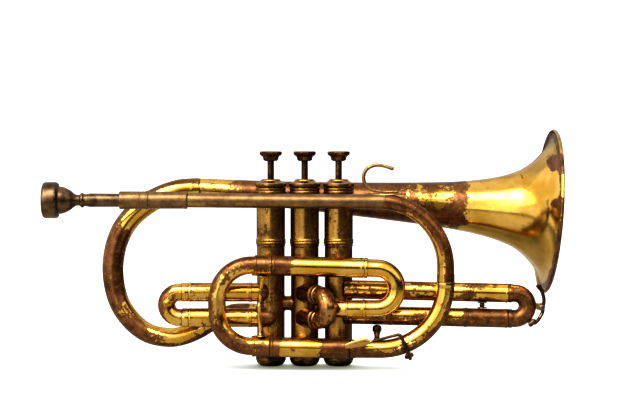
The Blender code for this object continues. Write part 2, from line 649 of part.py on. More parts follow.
def build_water_keys():
    # Key on the right bow: the hinge lies along the tube, in front of it.
    angle = math.radians(22)
    along = Vector((math.cos(angle), 0, math.sin(angle)))
    outward = Vector((math.sin(angle), 0, -math.cos(angle)))
    front = Vector((0, -1, 0))
    bow_r = 46.4
    corner_z = LOOP_Z[1] - 1.2
    centre = Vector((100.1 - bow_r, FRONT_Y, corner_z + bow_r)) + outward * bow_r
    base = centre + front * (6.4 + GAP)
    pivot = base + front * 3.0
    cork_at = centre + outward * (6.4 + GAP)
    path = [cork_at + outward * 3.3,
            cork_at + outward * 3.3 + front * 3.6,
            cork_at - outward * 0.6 + front * 8.2,
            pivot + front * 1.2,
            pivot + front * 1.8 - outward * 4.2,
            Vector((67.2, FRONT_Y - 11.0, 25.4)),
            Vector((63.6, FRONT_Y - 10.6, 25.2)),
            Vector((53.0, FRONT_Y - 10.2, 22.4)),
            Vector((46.6, FRONT_Y - 10.4, 20.8)),
            Vector((38.0, FRONT_Y - 10.6, 19.8)),
            Vector((29.4, FRONT_Y - 10.8, 17.6))]
    radii = [1.5, 1.5, 1.5, 1.6, 1.5, 1.4, 1.3, 1.3, 1.3, 1.7, 1.3]
    key_parts("1", pivot, along, path, radii, cork_at, outward, front * 3.0, base)

    # Key on the third slide's bow: the hinge lies across it.
    upper, lower = [sloped(THIRD_END_X, SLIDE_Y, z) for z in THIRD_Z]
    out = THIRD_OUT
    half = (THIRD_Z[0] - THIRD_Z[1]) / 2
    centre = (upper + lower) / 2 + out * 5.2
    base = centre + out * (half + BOW_R + GAP)
    pivot = base + out * 3.0
    way = Vector((0.72, 0, -0.69))
    cork_at = centre + way * (half + BOW_R + GAP)
    lever_y = Vector((0, -1.0, 0))
    path = [cork_at + way * 3.2,
            cork_at + way * 3.0 + Vector((3.2, 0, 2.4)),
            pivot + Vector((1.2, 0, -4.4)),
            pivot + Vector((1.6, 0, 0)),
            pivot + Vector((2.2, 0, 5.0)) + lever_y,
            pivot + Vector((0.6, 0, 11.0)) + lever_y,
            pivot + Vector((-2.6, 0, 16.0)) + lever_y]
    radii = [1.3, 1.3, 1.3, 1.5, 1.3, 1.3, 1.8]
    key_parts("2", pivot, Vector((0, 1, 0)), path, radii, cork_at, way, out * 3.0, base)


build_valves()
build_mouthpiece()
build_leadpipe()
build_front_loop()
build_first_slide()
build_second_slide()
build_third_slide()
build_bell()
build_braces()
build_finger_hook()
build_water_keys()
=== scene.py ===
"""The looks of an old valved cornet: fine meshes, worn lacquer over tarnished brass, a pale studio.

Lengths are in millimetres and are turned into metres when a mesh is made. The axes are those
of the CAD model: +X runs to the bell, -Y to the viewer, +Z up.
"""
import bisect
import json
from functools import partial, reduce
from math import ceil, copysign, cos, dist, hypot, pi, radians, sin, tan

import bmesh
import bpy
from mathutils import Matrix, Vector

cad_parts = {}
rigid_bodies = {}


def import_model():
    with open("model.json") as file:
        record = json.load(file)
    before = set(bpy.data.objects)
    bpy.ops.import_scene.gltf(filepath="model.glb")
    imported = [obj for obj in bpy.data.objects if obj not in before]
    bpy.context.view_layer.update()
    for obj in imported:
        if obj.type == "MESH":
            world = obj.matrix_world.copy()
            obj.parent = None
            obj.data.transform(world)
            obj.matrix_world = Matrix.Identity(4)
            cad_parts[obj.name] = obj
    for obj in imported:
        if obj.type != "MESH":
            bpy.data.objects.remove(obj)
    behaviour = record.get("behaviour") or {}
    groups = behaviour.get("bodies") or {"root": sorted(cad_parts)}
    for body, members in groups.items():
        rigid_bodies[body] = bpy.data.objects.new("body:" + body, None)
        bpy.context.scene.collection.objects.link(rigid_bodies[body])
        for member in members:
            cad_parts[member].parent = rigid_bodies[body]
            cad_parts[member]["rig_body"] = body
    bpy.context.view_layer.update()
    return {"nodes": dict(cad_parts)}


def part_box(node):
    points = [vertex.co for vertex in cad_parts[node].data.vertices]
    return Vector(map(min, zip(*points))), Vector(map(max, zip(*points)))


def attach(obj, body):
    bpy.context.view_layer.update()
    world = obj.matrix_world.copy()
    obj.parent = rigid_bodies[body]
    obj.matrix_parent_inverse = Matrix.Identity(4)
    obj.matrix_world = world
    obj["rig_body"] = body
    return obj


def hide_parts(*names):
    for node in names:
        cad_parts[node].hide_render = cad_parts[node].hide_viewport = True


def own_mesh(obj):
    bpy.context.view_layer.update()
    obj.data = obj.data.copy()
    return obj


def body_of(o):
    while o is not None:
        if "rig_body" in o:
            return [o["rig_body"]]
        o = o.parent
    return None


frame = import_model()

MM = 0.001
UP = Vector((0, 0, 1))

STEP = 2                    # longest stretch between two rings of a surface
SIDES = 48                    # sides of a tube
TURNED_SIDES = 96             # sides of a turned piece
SOFT_EDGE = 0.25              # how far an edge is rounded

# ---- sizes shared with the CAD model


def middle_of(node):
    low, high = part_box(node)
    return (low + high) / 2 / MM


VALVES_X = [middle_of("casing_" + n).x for n in "123"]
CASING_R = 10
CASING_TOP_R = 10.3
CASING_BORE = 8.7
BARREL_BORE = 9.4
CASING_BOTTOM_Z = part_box("casing_2")[0].z / MM
CASING_TOP_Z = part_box("casing_2")[1].z / MM
BUTTON_TOP_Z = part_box("finger_button_2")[1].z / MM
BARREL_TOP_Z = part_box("piston_2")[1].z / MM
SPRING_LOW_Z = 91.3
PORT_Z = 45.1
FRONT_Y = middle_of("leadpipe").y
SLIDE_Y = middle_of("first_bow").y
LEADPIPE_Z = 119.2
PIPE_LEFT_Z = LEADPIPE_Z + 1
MOUTHPIECE_X, RECEIVER_X, LEADPIPE_X = -185.3, -131.2, -82.6   # their left ends
HOOK_FOOT_X = 57
WALL = 0.5
PIPE_R = 5.2
LEG_R = 6
BOW_R = 6.3
SLEEVE_BORE_R = LEG_R + 0.4
SLEEVE_WALL = 0.4
SLIDE_SLOPE = radians(1.4)
FIRST_OUT = Vector((-1, 0, 0))
FIRST_Z = (53.6, 35.3)
FIRST_END_X = -82.9
FIRST_RING_X = -37.8
SLIDE_SLEEVE_R = 6.75
SECOND_ANGLE = radians(58)
SECOND_OUT = Vector((cos(SECOND_ANGLE), -sin(SECOND_ANGLE), 0))
SECOND_Z = (53, 35.6)
SECOND_START = Vector((1, -7.5, 0))
SECOND_LENGTH = 15
THIRD_OUT = Vector((cos(SLIDE_SLOPE), 0, -sin(SLIDE_SLOPE)))
THIRD_Z = (56.5, 38.3)
THIRD_END_X = 145.6
LOOP_OUT = -THIRD_OUT
LOOP_Z = (73.2, 15.3)
LOOP_SLEEVE_START = (-23, -24.6)
LOOP_SLEEVE_END = (42, 31.4)
LOOP_SLEEVE_R = 7.15
LOOP_LEFT_X = -62.2
RIGHT_BOW_X = 100.1
RIGHT_BOW_R = 46.4
RIGHT_BOW_CORNER_Z = LOOP_Z[1] - 1.2
RIGHT_BOW_JOINT_Z = 62.3
BELL_START = Vector((-76.8, 22, 126.5))
BELL_END = Vector((179.6, 29, 110.1))
BELL_AXIS = (BELL_END - BELL_START).normalized()
BELL_RIM_R = 60.4
RIM_WIRE_R = 1.3


# ---- lines and outlines

def ramp(value, low, high):
    """0 below low, 1 above high and a smooth step between them."""
    t = min(1, max(0, (value - low) / (high - low)))
    return t * t * (3 - 2 * t)


def spot(p, x, z, radius):
    """1 near the place (x, z) seen from the front, falling to 0 at the radius."""
    return 1 - ramp(hypot(p.x - x, p.z - z), 0.35 * radius, radius)


def sloped(x, y, z):
    """A point on a line that drops towards the bell; z is its height at the middle valve."""
    return Vector((x, y, z - tan(SLIDE_SLOPE) * x))


def rounded_path(corners, bends, steps_per_turn=96):
    """Straight runs between corners, with an arc of the given radius at each inner corner."""
    corners = [Vector(c) for c in corners]
    path = [corners[0]]
    for i, radius in enumerate(bends, start=1):
        before = (corners[i - 1] - corners[i]).normalized()
        after = (corners[i + 1] - corners[i]).normalized()
        opening = before.angle(after)
        reach = radius / tan(opening / 2)
        centre = corners[i] + (before + after).normalized() * (radius / sin(opening / 2))
        first = corners[i] + before * reach - centre
        turn = pi - opening
        axis = first.cross(corners[i] + after * reach - centre).normalized()
        count = max(2, round(steps_per_turn * turn / (2 * pi)))
        for k in range(count + 1):
            point = centre + Matrix.Rotation(turn * k / count, 3, axis) @ first
            if (point - path[-1]).length > 0.05:
                path.append(point)
    if (corners[-1] - path[-1]).length > 0.05:
        path.append(corners[-1])
    return path


def smooth(values, spans):
    """Catmull-Rom curve through numbers or vectors, with the given number of steps per span."""
    ends = [values[0] * 2 - values[1]] + list(values) + [values[-1] * 2 - values[-2]]
    result = []
    for i in range(1, len(ends) - 2):
        a, b, c, d = ends[i - 1:i + 3]
        for k in range(spans):
            t = k / spans
            result.append((b * 2 + (c - a) * t + (a * 2 - b * 5 + c * 4 - d) * t * t
                           + (b * 3 - a - c * 3 + d) * t ** 3) * 0.5)
    result.append(values[-1])
    return result


def soften(outline, reach, closed):
    """The outline with each corner rounded over the given reach."""
    result = []
    count = len(outline)
    for i, (s, r) in enumerate(outline):
        at_end = i in (0, count - 1)
        if at_end and not closed:
            result.append((s, r))
            continue
        corner = Vector((s, r))
        before = Vector(outline[i - 1]) - corner
        after = Vector(outline[(i + 1) % count]) - corner
        if before.length < 0.01 or after.length < 0.01 or before.angle(after) > radians(165):
            result.append((s, r))
            continue
        first = corner + before.normalized() * min(reach, before.length * 0.45)
        last = corner + after.normalized() * min(reach, after.length * 0.45)
        for t in (0, 0.5, 1):
            result.append(tuple(first.lerp(corner, t).lerp(corner.lerp(last, t), t)))
    return result


def filled(outline, closed, step):
    """The outline with points added wherever two lie further apart than the step."""
    result = []
    pairs = list(zip(outline, outline[1:] + outline[:1]))
    for a, b in pairs if closed else pairs[:-1]:
        parts = max(1, ceil(dist(a, b) / step))
        for k in range(parts):
            result.append(tuple(Vector(a).lerp(Vector(b), k / parts)))
    if not closed:
        result.append(outline[-1])
    return result


class Line:
    """A centre line with a frame that doesn't twist; s is the length along it."""

    def __init__(self, points):
        self.points = [Vector(p) for p in points]
        self.reach = [0]
        for a, b in zip(self.points, self.points[1:]):
            self.reach.append(self.reach[-1] + (b - a).length)
        self.length = self.reach[-1]
        steps = [(b - a).normalized() for a, b in zip(self.points, self.points[1:])]
        joints = [(a + b).normalized() for a, b in zip(steps, steps[1:])]
        self.tangents = [steps[0]] + joints + [steps[-1]]
        helper = UP if abs(steps[0].z) < 0.9 else Vector((0, -1, 0))
        side = (helper - steps[0] * helper.dot(steps[0])).normalized()
        self.sides = [side]
        for old, new in zip(self.tangents, self.tangents[1:]):
            side = old.rotation_difference(new) @ side
            side = (side - new * side.dot(new)).normalized()
            self.sides.append(side)

    def at(self, s):
        i = min(max(bisect.bisect_right(self.reach, s) - 1, 0), len(self.points) - 2)
        t = (s - self.reach[i]) / (self.reach[i + 1] - self.reach[i])
        centre = self.points[i] + (self.points[i + 1] - self.points[i]) * t
        blend = min(1, max(0, t))
        tangent = self.tangents[i].lerp(self.tangents[i + 1], blend).normalized()
        side = self.sides[i].lerp(self.sides[i + 1], blend)
        side = (side - tangent * side.dot(tangent)).normalized()
        return centre, side, tangent.cross(side)


def axis_line(start, direction):
    start = Vector(start)
    return Line([start, start + Vector(direction).normalized()])


# ---- making pieces

def make_mesh(name, verts, faces, runs, wear):
    """A mesh with two values on its points: wear plus painted shading, and the place along the
    piece.
    """
    mesh = bpy.data.meshes.new(name)
    mesh.from_pydata([v * MM for v in verts], [], faces)
    work = bmesh.new()
    work.from_mesh(mesh)
    bmesh.ops.recalc_face_normals(work, faces=work.faces)
    work.to_mesh(mesh)
    work.free()
    normals = [v.normal.copy() for v in mesh.vertices]
    amounts = [wear(p, n) for p, n in zip(verts, normals)]
    mesh.attributes.new("wear", "FLOAT", "POINT").data.foreach_set("value", amounts)
    flat = [value for run in runs for value in run]
    mesh.attributes.new("run", "FLOAT_VECTOR", "POINT").data.foreach_set("vector", flat)
    mesh.shade_smooth()
    mesh.set_sharp_from_angle(angle=radians(40))
    return mesh


def bridge(rings, closed=False):
    """Faces between neighbouring rings of points; a ring of one point is a tip."""
    faces = []
    for a, b in zip(rings, rings[1:] + (rings[:1] if closed else [])):
        count = max(len(a), len(b))
        for k in range(count if count > 1 else 0):
            n = (k + 1) % count
            if len(a) == 1:
                faces.append((a[0], b[n], b[k]))
            elif len(b) == 1:
                faces.append((a[k], a[n], b[0]))
            else:
                faces.append((a[k], a[n], b[n], b[k]))
    return faces


def skin(name, line, outline, closed, wear, sides, mould):
    """The surface swept by an outline of (place along the line, radius)."""
    verts, runs, rings = [], [], []
    for s, r in outline:
        centre, side, other = line.at(s)
        rings.append([])
        for k in range(sides if r > 0.001 else 1):
            angle = 2 * pi * k / sides
            out = side * cos(angle) + other * sin(angle)
            point = centre + out * r
            if mould is not None:
                point = mould(point, centre, out, s, angle)
            rings[-1].append(len(verts))
            verts.append(point)
            runs.append((s, r * cos(angle), r * sin(angle)))
    return make_mesh(name, verts, bridge(rings, closed), runs, wear)


def even(amount):
    return lambda p, n: amount


def add(name, data):
    """Put a mesh, light or camera in the scene."""
    obj = bpy.data.objects.new(name, data)
    bpy.context.scene.collection.objects.link(obj)
    return obj


def show(name, mesh, finish, nodes=(), body=None):
    """Put a mesh in the scene: it replaces its CAD nodes, or only rides on a body."""
    obj = add(name, mesh)
    mesh.materials.append(finish["material"])
    if nodes:
        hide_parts(*nodes)
    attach(obj, body or body_of(frame["nodes"][nodes[0]])[0])
    return obj


def revolve(name, line, outline, finish, wear=0.5, sides=SIDES, edge=SOFT_EDGE, mould=None,
            nodes=None, body=None, step=STEP):
    """A tube, or a solid piece where the outline starts and ends on the axis.

    By default it stands for the CAD node of the same name.
    """
    closed = outline[0][1] > 0
    points = filled(soften(outline, edge, closed), closed, step)
    amount = wear if callable(wear) else even(wear)
    mesh = skin("fine_" + name, line, points, closed, amount, sides, mould)
    chosen = nodes if nodes is not None else ([] if body else [name])
    return show("fine_" + name, mesh, finish, chosen, body)


def turned(name, at, direction, outline, finish, **options):
    """A turned piece: (height, radius) along an axis, on many sides."""
    options.setdefault("sides", TURNED_SIDES)
    return revolve(name, axis_line(at, direction), outline, finish, **options)


def shell(outer, wall=WALL):
    """The outline of a tube: its outer side out and its bore back."""
    return outer + [(s, r - wall) for s, r in reversed(outer)]


def shifted(start, outline):
    return [(start + s, r) for s, r in outline]


def both_ends(end, length=0, middle=()):
    """The outline of a piece whose second end mirrors its first."""
    return end + list(middle) + [(length - s, r) for s, r in reversed(end)]


def ball(at, radius, parts):
    """A run of outline points round a ball centred on the axis."""
    angles = [pi * k / parts for k in range(parts + 1)]
    return [(at - radius * cos(a), max(0, radius * sin(a))) for a in angles]


def rod(name, points, radii, finish, tip=1, **options):
    """A bar along the points, with rounded ends and its radius eased between the points."""
    line = Line(points)
    outline = [(0, 0), (0.12 * tip, 0.55 * radii[0]), (0.45 * tip, 0.9 * radii[0])]
    marks = [line.reach[round(i * (len(line.points) - 1) / (len(radii) - 1))]
             for i in range(len(radii))]
    marks[0], marks[-1] = tip, line.length - tip
    outline += list(zip(marks, radii))
    outline += [(line.length - 0.45 * tip, 0.9 * radii[-1]),
                (line.length - 0.12 * tip, 0.55 * radii[-1]), (line.length, 0)]
    options.setdefault("sides", 24)
    options.setdefault("step", 1.2)
    return revolve(name, line, outline, finish, **options)


def to_casing(x, reach=9.7, fillet=0.7):
    """Cut a tube's end back to the casing at x, with a small bead of solder round it."""
    def mould(point, centre, out, s, angle):
        away = Vector((point.x - x, point.y, 0))
        distance = away.length
        if distance < reach:
            return point + away.normalized() * (reach - distance)
        near = 1 - ramp(distance, CASING_R - 0.4, CASING_R + 1.4)
        return point + out * (fillet * near * near)
    return mould


def plate(name, centre, along, out, size, bend_r, finish, thickness, wear, body="horn"):
    """A leaf-shaped flange that wraps round a tube of radius bend_r, pointed at both ends."""
    along, out = Vector(along).normalized(), Vector(out).normalized()
    across = along.cross(out)
    around, layers, under = 40, 5, -0.3
    verts, runs, faces, rims = [], [], [], []

    def place(u, v, height):
        turn = v / bend_r
        radial = out * cos(turn) + across * sin(turn)
        verts.append(Vector(centre) - out * bend_r + along * u + radial * (bend_r + height))
        runs.append((u, v, height))
        return len(verts) - 1

    for on_top in (True, False):
        rings = []
        for layer in range(layers):
            share = 1 - layer / layers
            height = thickness * min(1, (1 - share) * 4 + 0.35) if on_top else under
            rings.append([])
            for k in range(around):
                angle = 2 * pi * k / around
                c, d = cos(angle), sin(angle)
                u = size[0] * share * abs(c) ** 1.5 * copysign(1, c)
                v = size[1] * share * abs(d) ** 1.1 * copysign(1, d)
                rings[-1].append(place(u, v, height))
        rings.append([place(0, 0, thickness if on_top else under)])
        runs[-1] = (0, 0, 0)
        faces += bridge(rings)
        rims.append(rings[0])
    mesh = make_mesh("fine_" + name, verts, faces + bridge(rims), runs, even(wear))
    return show("fine_" + name, mesh, finish, body=body)


# ---- materials

class Graph:
    """The node tree of a material or a world, with short calls for the nodes it needs."""

    def __init__(self, owner):
        owner.use_nodes = True
        self.owner = owner
        self.tree = owner.node_tree
        self.shader = self.tree.nodes.get("Principled BSDF")
        self.coordinates = self.node("ShaderNodeTexCoord").outputs

    def node(self, kind, **settings):
        node = self.tree.nodes.new(kind)
        for key, value in settings.items():
            setattr(node, key, value)
        return node

    def feed(self, socket, value):
        if isinstance(value, bpy.types.NodeSocket):
            self.tree.links.new(value, socket)
        elif socket.type == "RGBA":
            socket.default_value = (*value, 1)
        else:
            socket.default_value = value

    def noise(self, scale, detail=4, roughness=0.6, vector=None, distortion=0):
        node = self.node("ShaderNodeTexNoise")
        self.feed(node.inputs["Vector"], vector or self.coordinates["Object"])
        for key, value in (("Scale", scale), ("Detail", detail), ("Roughness", roughness),
                           ("Distortion", distortion)):
            node.inputs[key].default_value = value
        return node.outputs["Fac"]

    def math(self, operation, a, b=0, c=0):
        node = self.node("ShaderNodeMath", operation=operation)
        for socket, value in zip(node.inputs, (a, b, c)):
            self.feed(socket, value)
        return node.outputs[0]

    def times(self, a, b):
        return self.math("MULTIPLY", a, b)

    def fit(self, value, factor, plus):
        return self.math("MULTIPLY_ADD", value, factor, plus)

    def swing(self, noise, factor, plus):
        """The noise, centred on 0 and scaled, on top of another value."""
        return self.fit(self.math("SUBTRACT", noise, 0.5), factor, plus)

    def level(self, value, low, high, out_low=0, out_high=1):
        """The value between low and high, spread over the new range with soft ends."""
        node = self.node("ShaderNodeMapRange", interpolation_type="SMOOTHSTEP")
        for key, entry in (("Value", value), ("From Min", low), ("From Max", high),
                           ("To Min", out_low), ("To Max", out_high)):
            self.feed(node.inputs[key], entry)
        return node.outputs[0]

    def mix(self, share, a, b, kind="RGBA"):
        first, result = {"RGBA": (6, 2), "FLOAT": (2, 0)}[kind]
        node = self.node("ShaderNodeMix", data_type=kind)
        for key, value in ((0, share), (first, a), (first + 1, b)):
            self.feed(node.inputs[key], value)
        return node.outputs[result]

    def attribute(self, name, output):
        return self.node("ShaderNodeAttribute", attribute_name=name).outputs[output]

    def streaks(self, along, across):
        """A coordinate in millimetres, stretched along the piece."""
        node = self.node("ShaderNodeMapping")
        self.feed(node.inputs["Vector"], self.attribute("run", "Vector"))
        node.inputs["Scale"].default_value = (along, across, across)
        return node.outputs["Vector"]

    def bump(self, height, distance, strength=1):
        node = self.node("ShaderNodeBump")
        self.feed(node.inputs["Height"], height)
        node.inputs["Distance"].default_value = distance
        node.inputs["Strength"].default_value = strength
        return node.outputs["Normal"]

    def finish(self, colour, metallic, roughness, normal=None, slot=None):
        for key, value in (("Base Color", colour), ("Metallic", metallic),
                           ("Roughness", roughness), ("Normal", normal)):
            if value is not None:
                self.feed(self.shader.inputs[key], value)
        return {"material": self.owner, "slot": slot}


def aged_brass(name, slot, pale, deep, brown, dark, shine=0.15, matte=0.30):
    """Lacquered brass rubbed through to brown: the points' wear and painted shading set the share.
    """
    g = Graph(bpy.data.materials.new(name))
    broad = g.noise(70, 9, 0.62, distortion=0.4)
    fine = g.noise(420, 5, 0.6)
    drawn = g.noise(1, 5, 0.6, g.streaks(0.09, 0.55))
    uneven = g.swing(fine, 1.3, g.fit(broad, 2.2, -1.1))
    level = g.math("ADD", g.attribute("wear", "Fac"), g.swing(drawn, 0.8, uneven))
    worn_and_shaded = g.level(level, 0.48, 0.54)
    rim = g.times(g.level(level, 0.40, 0.49), g.level(level, 0.64, 0.52))
    pits = g.level(g.noise(1150, 2, 0.5), 0.66, 0.72)
    grime = g.level(g.noise(230, 6, 0.7), 0.56, 0.72)

    gold = g.mix(g.level(g.noise(45, 4), 0.35, 0.65), pale, deep)
    gold = g.mix(g.times(grime, 0.45), gold, brown)
    gold = g.mix(g.times(pits, 0.75), gold, dark)
    base = g.mix(g.level(g.noise(120, 7, 0.7), 0.38, 0.62), dark, brown)
    base = g.mix(g.times(g.level(fine, 0.55, 0.7), 0.35), base, deep)
    colour = g.mix(worn_and_shaded, gold, base)
    colour = g.mix(g.times(rim, 0.6), colour, dark)

    glossy = g.fit(g.noise(160, 5), 0.16, shine - 0.08)
    glossy = g.fit(grime, 0.10, glossy)
    rough = g.fit(fine, 0.16, matte - 0.08)
    metallic = g.level(worn_and_shaded, 0, 1, 1, 0.82)
    height = g.fit(worn_and_shaded, -0.45, g.times(fine, 0.35))
    height = g.fit(pits, -0.4, height)
    normal = g.bump(height, 0.00009)
    return g.finish(colour, metallic, g.mix(worn_and_shaded, glossy, rough, "FLOAT"), normal, slot)


def old_bronze(name, slot, brown, dark, glint, matte=0.36):
    """Dark handled metal: brown in the hollows, rubbed bright and painted with a glint on the
    edges.
    """
    g = Graph(bpy.data.materials.new(name))
    edges = g.node("ShaderNodeNewGeometry").outputs["Pointiness"]
    cloud = g.noise(140, 7, 0.68)
    fine = g.noise(650, 4)
    colour = g.mix(g.level(cloud, 0.36, 0.62), dark, brown)
    # Pointy edges take the glint colour: rubbed metal plus a painted highlight.
    rubbed_and_glinting = g.math("ADD", g.level(edges, 0.515, 0.60), g.attribute("wear", "Fac"))
    rubbed_and_glinting = g.level(g.swing(cloud, 1.8, rubbed_and_glinting), 0.35, 0.95)
    colour = g.mix(rubbed_and_glinting, colour, glint)
    rough = g.fit(fine, 0.24, matte - 0.12)
    rough = g.fit(rubbed_and_glinting, -0.12, rough)
    normal = g.bump(g.math("ADD", fine, cloud), 0.00006)
    return g.finish(colour, 0.9, rough, normal, slot)


def bare_metal(name, slot, colour, dull, rough):
    """Drawn metal with fine lines along it."""
    g = Graph(bpy.data.materials.new(name))
    lines = g.noise(1, 4, 0.6, g.streaks(0.05, 3))
    blotch = g.noise(160, 5)
    shade = g.mix(g.level(blotch, 0.4, 0.68), colour, dull)
    roughness = g.fit(lines, 0.18, rough - 0.09)
    return g.finish(shade, 1, roughness, g.bump(lines, 0.00002), slot)


def cork(name):
    g = Graph(bpy.data.materials.new(name))
    grain = g.noise(900, 5, 0.7)
    spots = g.level(g.noise(500, 2), 0.6, 0.68)
    shade = g.mix(grain, (0.30, 0.18, 0.09), (0.52, 0.35, 0.19))
    shade = g.mix(spots, shade, (0.13, 0.07, 0.04))
    return g.finish(shade, 0, 0.88, g.bump(grain, 0.0002), "cork")


GOLD_PALE = (0.76, 0.48, 0.125)
GOLD_DEEP = (0.58, 0.33, 0.05)
BROWN = (0.21, 0.09, 0.030)
BROWN_DARK = (0.095, 0.038, 0.013)
LACQUER = aged_brass("worn_lacquer", "lacquered_brass", GOLD_PALE, GOLD_DEEP, BROWN, BROWN_DARK)
TARNISH = aged_brass("tarnished_tube", "tarnished_brass", (0.36, 0.225, 0.075),
                     (0.28, 0.16, 0.048), (0.235, 0.138, 0.056), (0.145, 0.08, 0.032),
                     shine=0.31, matte=0.36)
CASING = aged_brass("casing_brass", "lacquered_brass", (0.44, 0.25, 0.065), (0.31, 0.172, 0.044),
                    (0.17, 0.082, 0.026), (0.085, 0.038, 0.013), shine=0.26, matte=0.33)
COPPER = aged_brass("coppery_tube", "tarnished_brass", (0.42, 0.225, 0.07), (0.30, 0.145, 0.042),
                    (0.17, 0.075, 0.03), (0.07, 0.029, 0.013), shine=0.22, matte=0.30)
BRONZE = old_bronze("dark_bronze", "dark_bronze", (0.085, 0.042, 0.018), (0.026, 0.014, 0.008),
                    (0.48, 0.28, 0.08))
PEWTER = old_bronze("mouthpiece_bronze", "dark_bronze", (0.17, 0.105, 0.052), (0.055, 0.036, 0.02),
                    (0.38, 0.26, 0.13), matte=0.30)
STEEL = bare_metal("spring_wire", "spring_steel", (0.50, 0.50, 0.52), (0.30, 0.28, 0.26), 0.28)
OLD_STEEL = bare_metal("tarnished_wire", "spring_steel", (0.24, 0.16, 0.10), (0.12, 0.08, 0.05),
                       0.32)
NICKEL = bare_metal("piston_plating", "piston_nickel", (0.66, 0.64, 0.60), (0.42, 0.38, 0.32),
                    0.24)
CORK = cork("cork")


# ---- valves

def knurled(low, high, depth=0.16, teeth=48):
    """Fine ridges round a rim, fading out at both sides of the band."""
    def mould(point, centre, out, s, angle):
        band = ramp(s, low, low + 0.25) * (1 - ramp(s, high - 0.25, high))
        return point - out * (depth * band * (0.5 + 0.5 * cos(teeth * angle)))
    return mould


def casing_wear(x):
    """Painted shade: browner on the right side and left edge; two bright spots over all casings."""
    def wear(p, n):
        across = (p.x - x) / CASING_R
        amount = 0.25 + 0.55 * ramp(across, 0.1, 0.8) + 0.35 * ramp(-across, 0.8, 1)
        amount -= 0.35 * spot(p, 0, 96, 9)
        amount -= 0.75 * spot(p, 27, 56.5, 6)
        return amount + 0.2 * ramp(p.z, 112, 122)
    return wear


def make_casing(number, x):
    outer = [(CASING_BOTTOM_Z, CASING_R), (85.8, CASING_R), (86.6, 10.35), (88, 10.4),
             (88.2, 10.8), (89.4, 10.8), (89.6, 10.55), (90, 10.55), (90.2, 10.8), (91.2, 10.8),
             (91.8, CASING_TOP_R), (124, CASING_TOP_R), (124.4, 10.9), (125.9, 10.9),
             (126.1, 10.6), (126.6, 10.6), (126.8, 10.9), (CASING_TOP_Z, 10.9)]
    bore = [(CASING_TOP_Z, BARREL_BORE), (88, BARREL_BORE), (88, CASING_BORE),
            (CASING_BOTTOM_Z, CASING_BORE)]
    turned("casing_" + number, (x, 0, 0), UP, outer + bore, CASING, wear=casing_wear(x))


def make_caps(number, x):
    top = [(134.6, 3), (134.6, 6.4), (134.2, 7), (133.4, 7.3), (133.2, 7.9), (132.2, 9.4),
           (131.9, 10.9), (131.4, 11.3), (129.6, 11.3), (129.2, 10.9), (128.8, 10.6), (128.8, 9),
           (124.6, 9), (124.6, 7.9), (129.6, 7.9), (131.8, 3)]
    # Painted light: the caps' upward faces stay gold and their sides go browner.
    turned("top_cap_" + number, (x, 0, 0), UP, top, CASING, wear=lambda p, n: 0.55 - 0.8 * n.z,
           mould=knurled(129.4, 131.6))
    bottom = [(1.8, 0), (1.8, 8.2), (2.8, 8.6), (2.8, 10.35), (8.6, 10.35), (8.2, 10.9),
              (7.6, 10.9), (7.4, 10.6), (7, 10.6), (6.8, 10.9), (4.3, 10.9), (3.9, 10.5),
              (3.4, 10.3), (2.2, 9.8), (1.2, 8.9), (0.4, 7.9), (0, 7), (0, 3.2), (0.35, 2.6),
              (0.35, 0)]
    turned("bottom_cap_" + number, (x, 0, 0), UP, bottom, BRONZE, wear=0.42,
           mould=knurled(4.4, 6.7, 0.14))


def make_valve_top(number, x):
    top = BUTTON_TOP_Z
    button = shifted(top, [(-0.35, 0), (-0.35, 5.2), (-0.1, 6), (0, 6.6), (0, 7.5),
                           (-0.4, 8), (-1.4, 8.1), (-2.4, 7.9), (-3, 7.2), (-3.6, 6.2),
                           (-4.6, 5.6), (-6, 5.4), (-6.6, 5), (-7.2, 3.4), (-7.2, 2.7),
                           (-6.1, 2.7), (-6.1, 0)])
    turned("finger_button_" + number, (x, 0, 0), UP, button, BRONZE, wear=0.36)
    felt_z = BARREL_TOP_Z + 4
    stem = [(top - 6.4, 0), (top - 6.4, 2.4), (felt_z + 0.2, 2.4), (felt_z, 6),
            (felt_z - 0.6, 7.4), (BARREL_TOP_Z + 0.3, 7.4), (BARREL_TOP_Z + 0.3, 0)]
    turned("stem_" + number, (x, 0, 0), UP, stem, BRONZE, wear=0.28)


def make_spring(number, x):
    """A fine coil round the valve, from its seat up to the top of the barrel."""
    turns, coil_r, wire_r, points_per_turn = 9, 4.6, 0.45, 20
    low, high = SPRING_LOW_Z + wire_r + 0.1, BARREL_TOP_Z - wire_r - 0.3
    count = turns * points_per_turn
    points = []
    for k in range(count + 1):
        turn = 2 * pi * k / points_per_turn
        points.append(Vector((x + coil_r * cos(turn), coil_r * sin(turn),
                              low + (high - low) * k / count)))
    name = "valve_spring_" + number
    spring = rod(name, points, [wire_r, wire_r], STEEL, tip=0.3, sides=10, body="horn",
                 nodes=[name], edge=0.05)
    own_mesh(spring)


def make_crossovers():
    for name, near, far in zip(("crossover_12", "crossover_23"), VALVES_X, VALVES_X[1:]):
        near_end, far_end = to_casing(near), to_casing(far)

        def mould(point, centre, out, s, angle):
            return far_end(near_end(point, centre, out, s, angle), centre, out, s, angle)
        line = Line([(near + 5, 0, PORT_Z), (far - 5, 0, PORT_Z)])
        revolve(name, line, shell([(0, 5.2), (line.length, 5.2)]), CASING, mould=mould, step=0.8)


# ---- front tubes

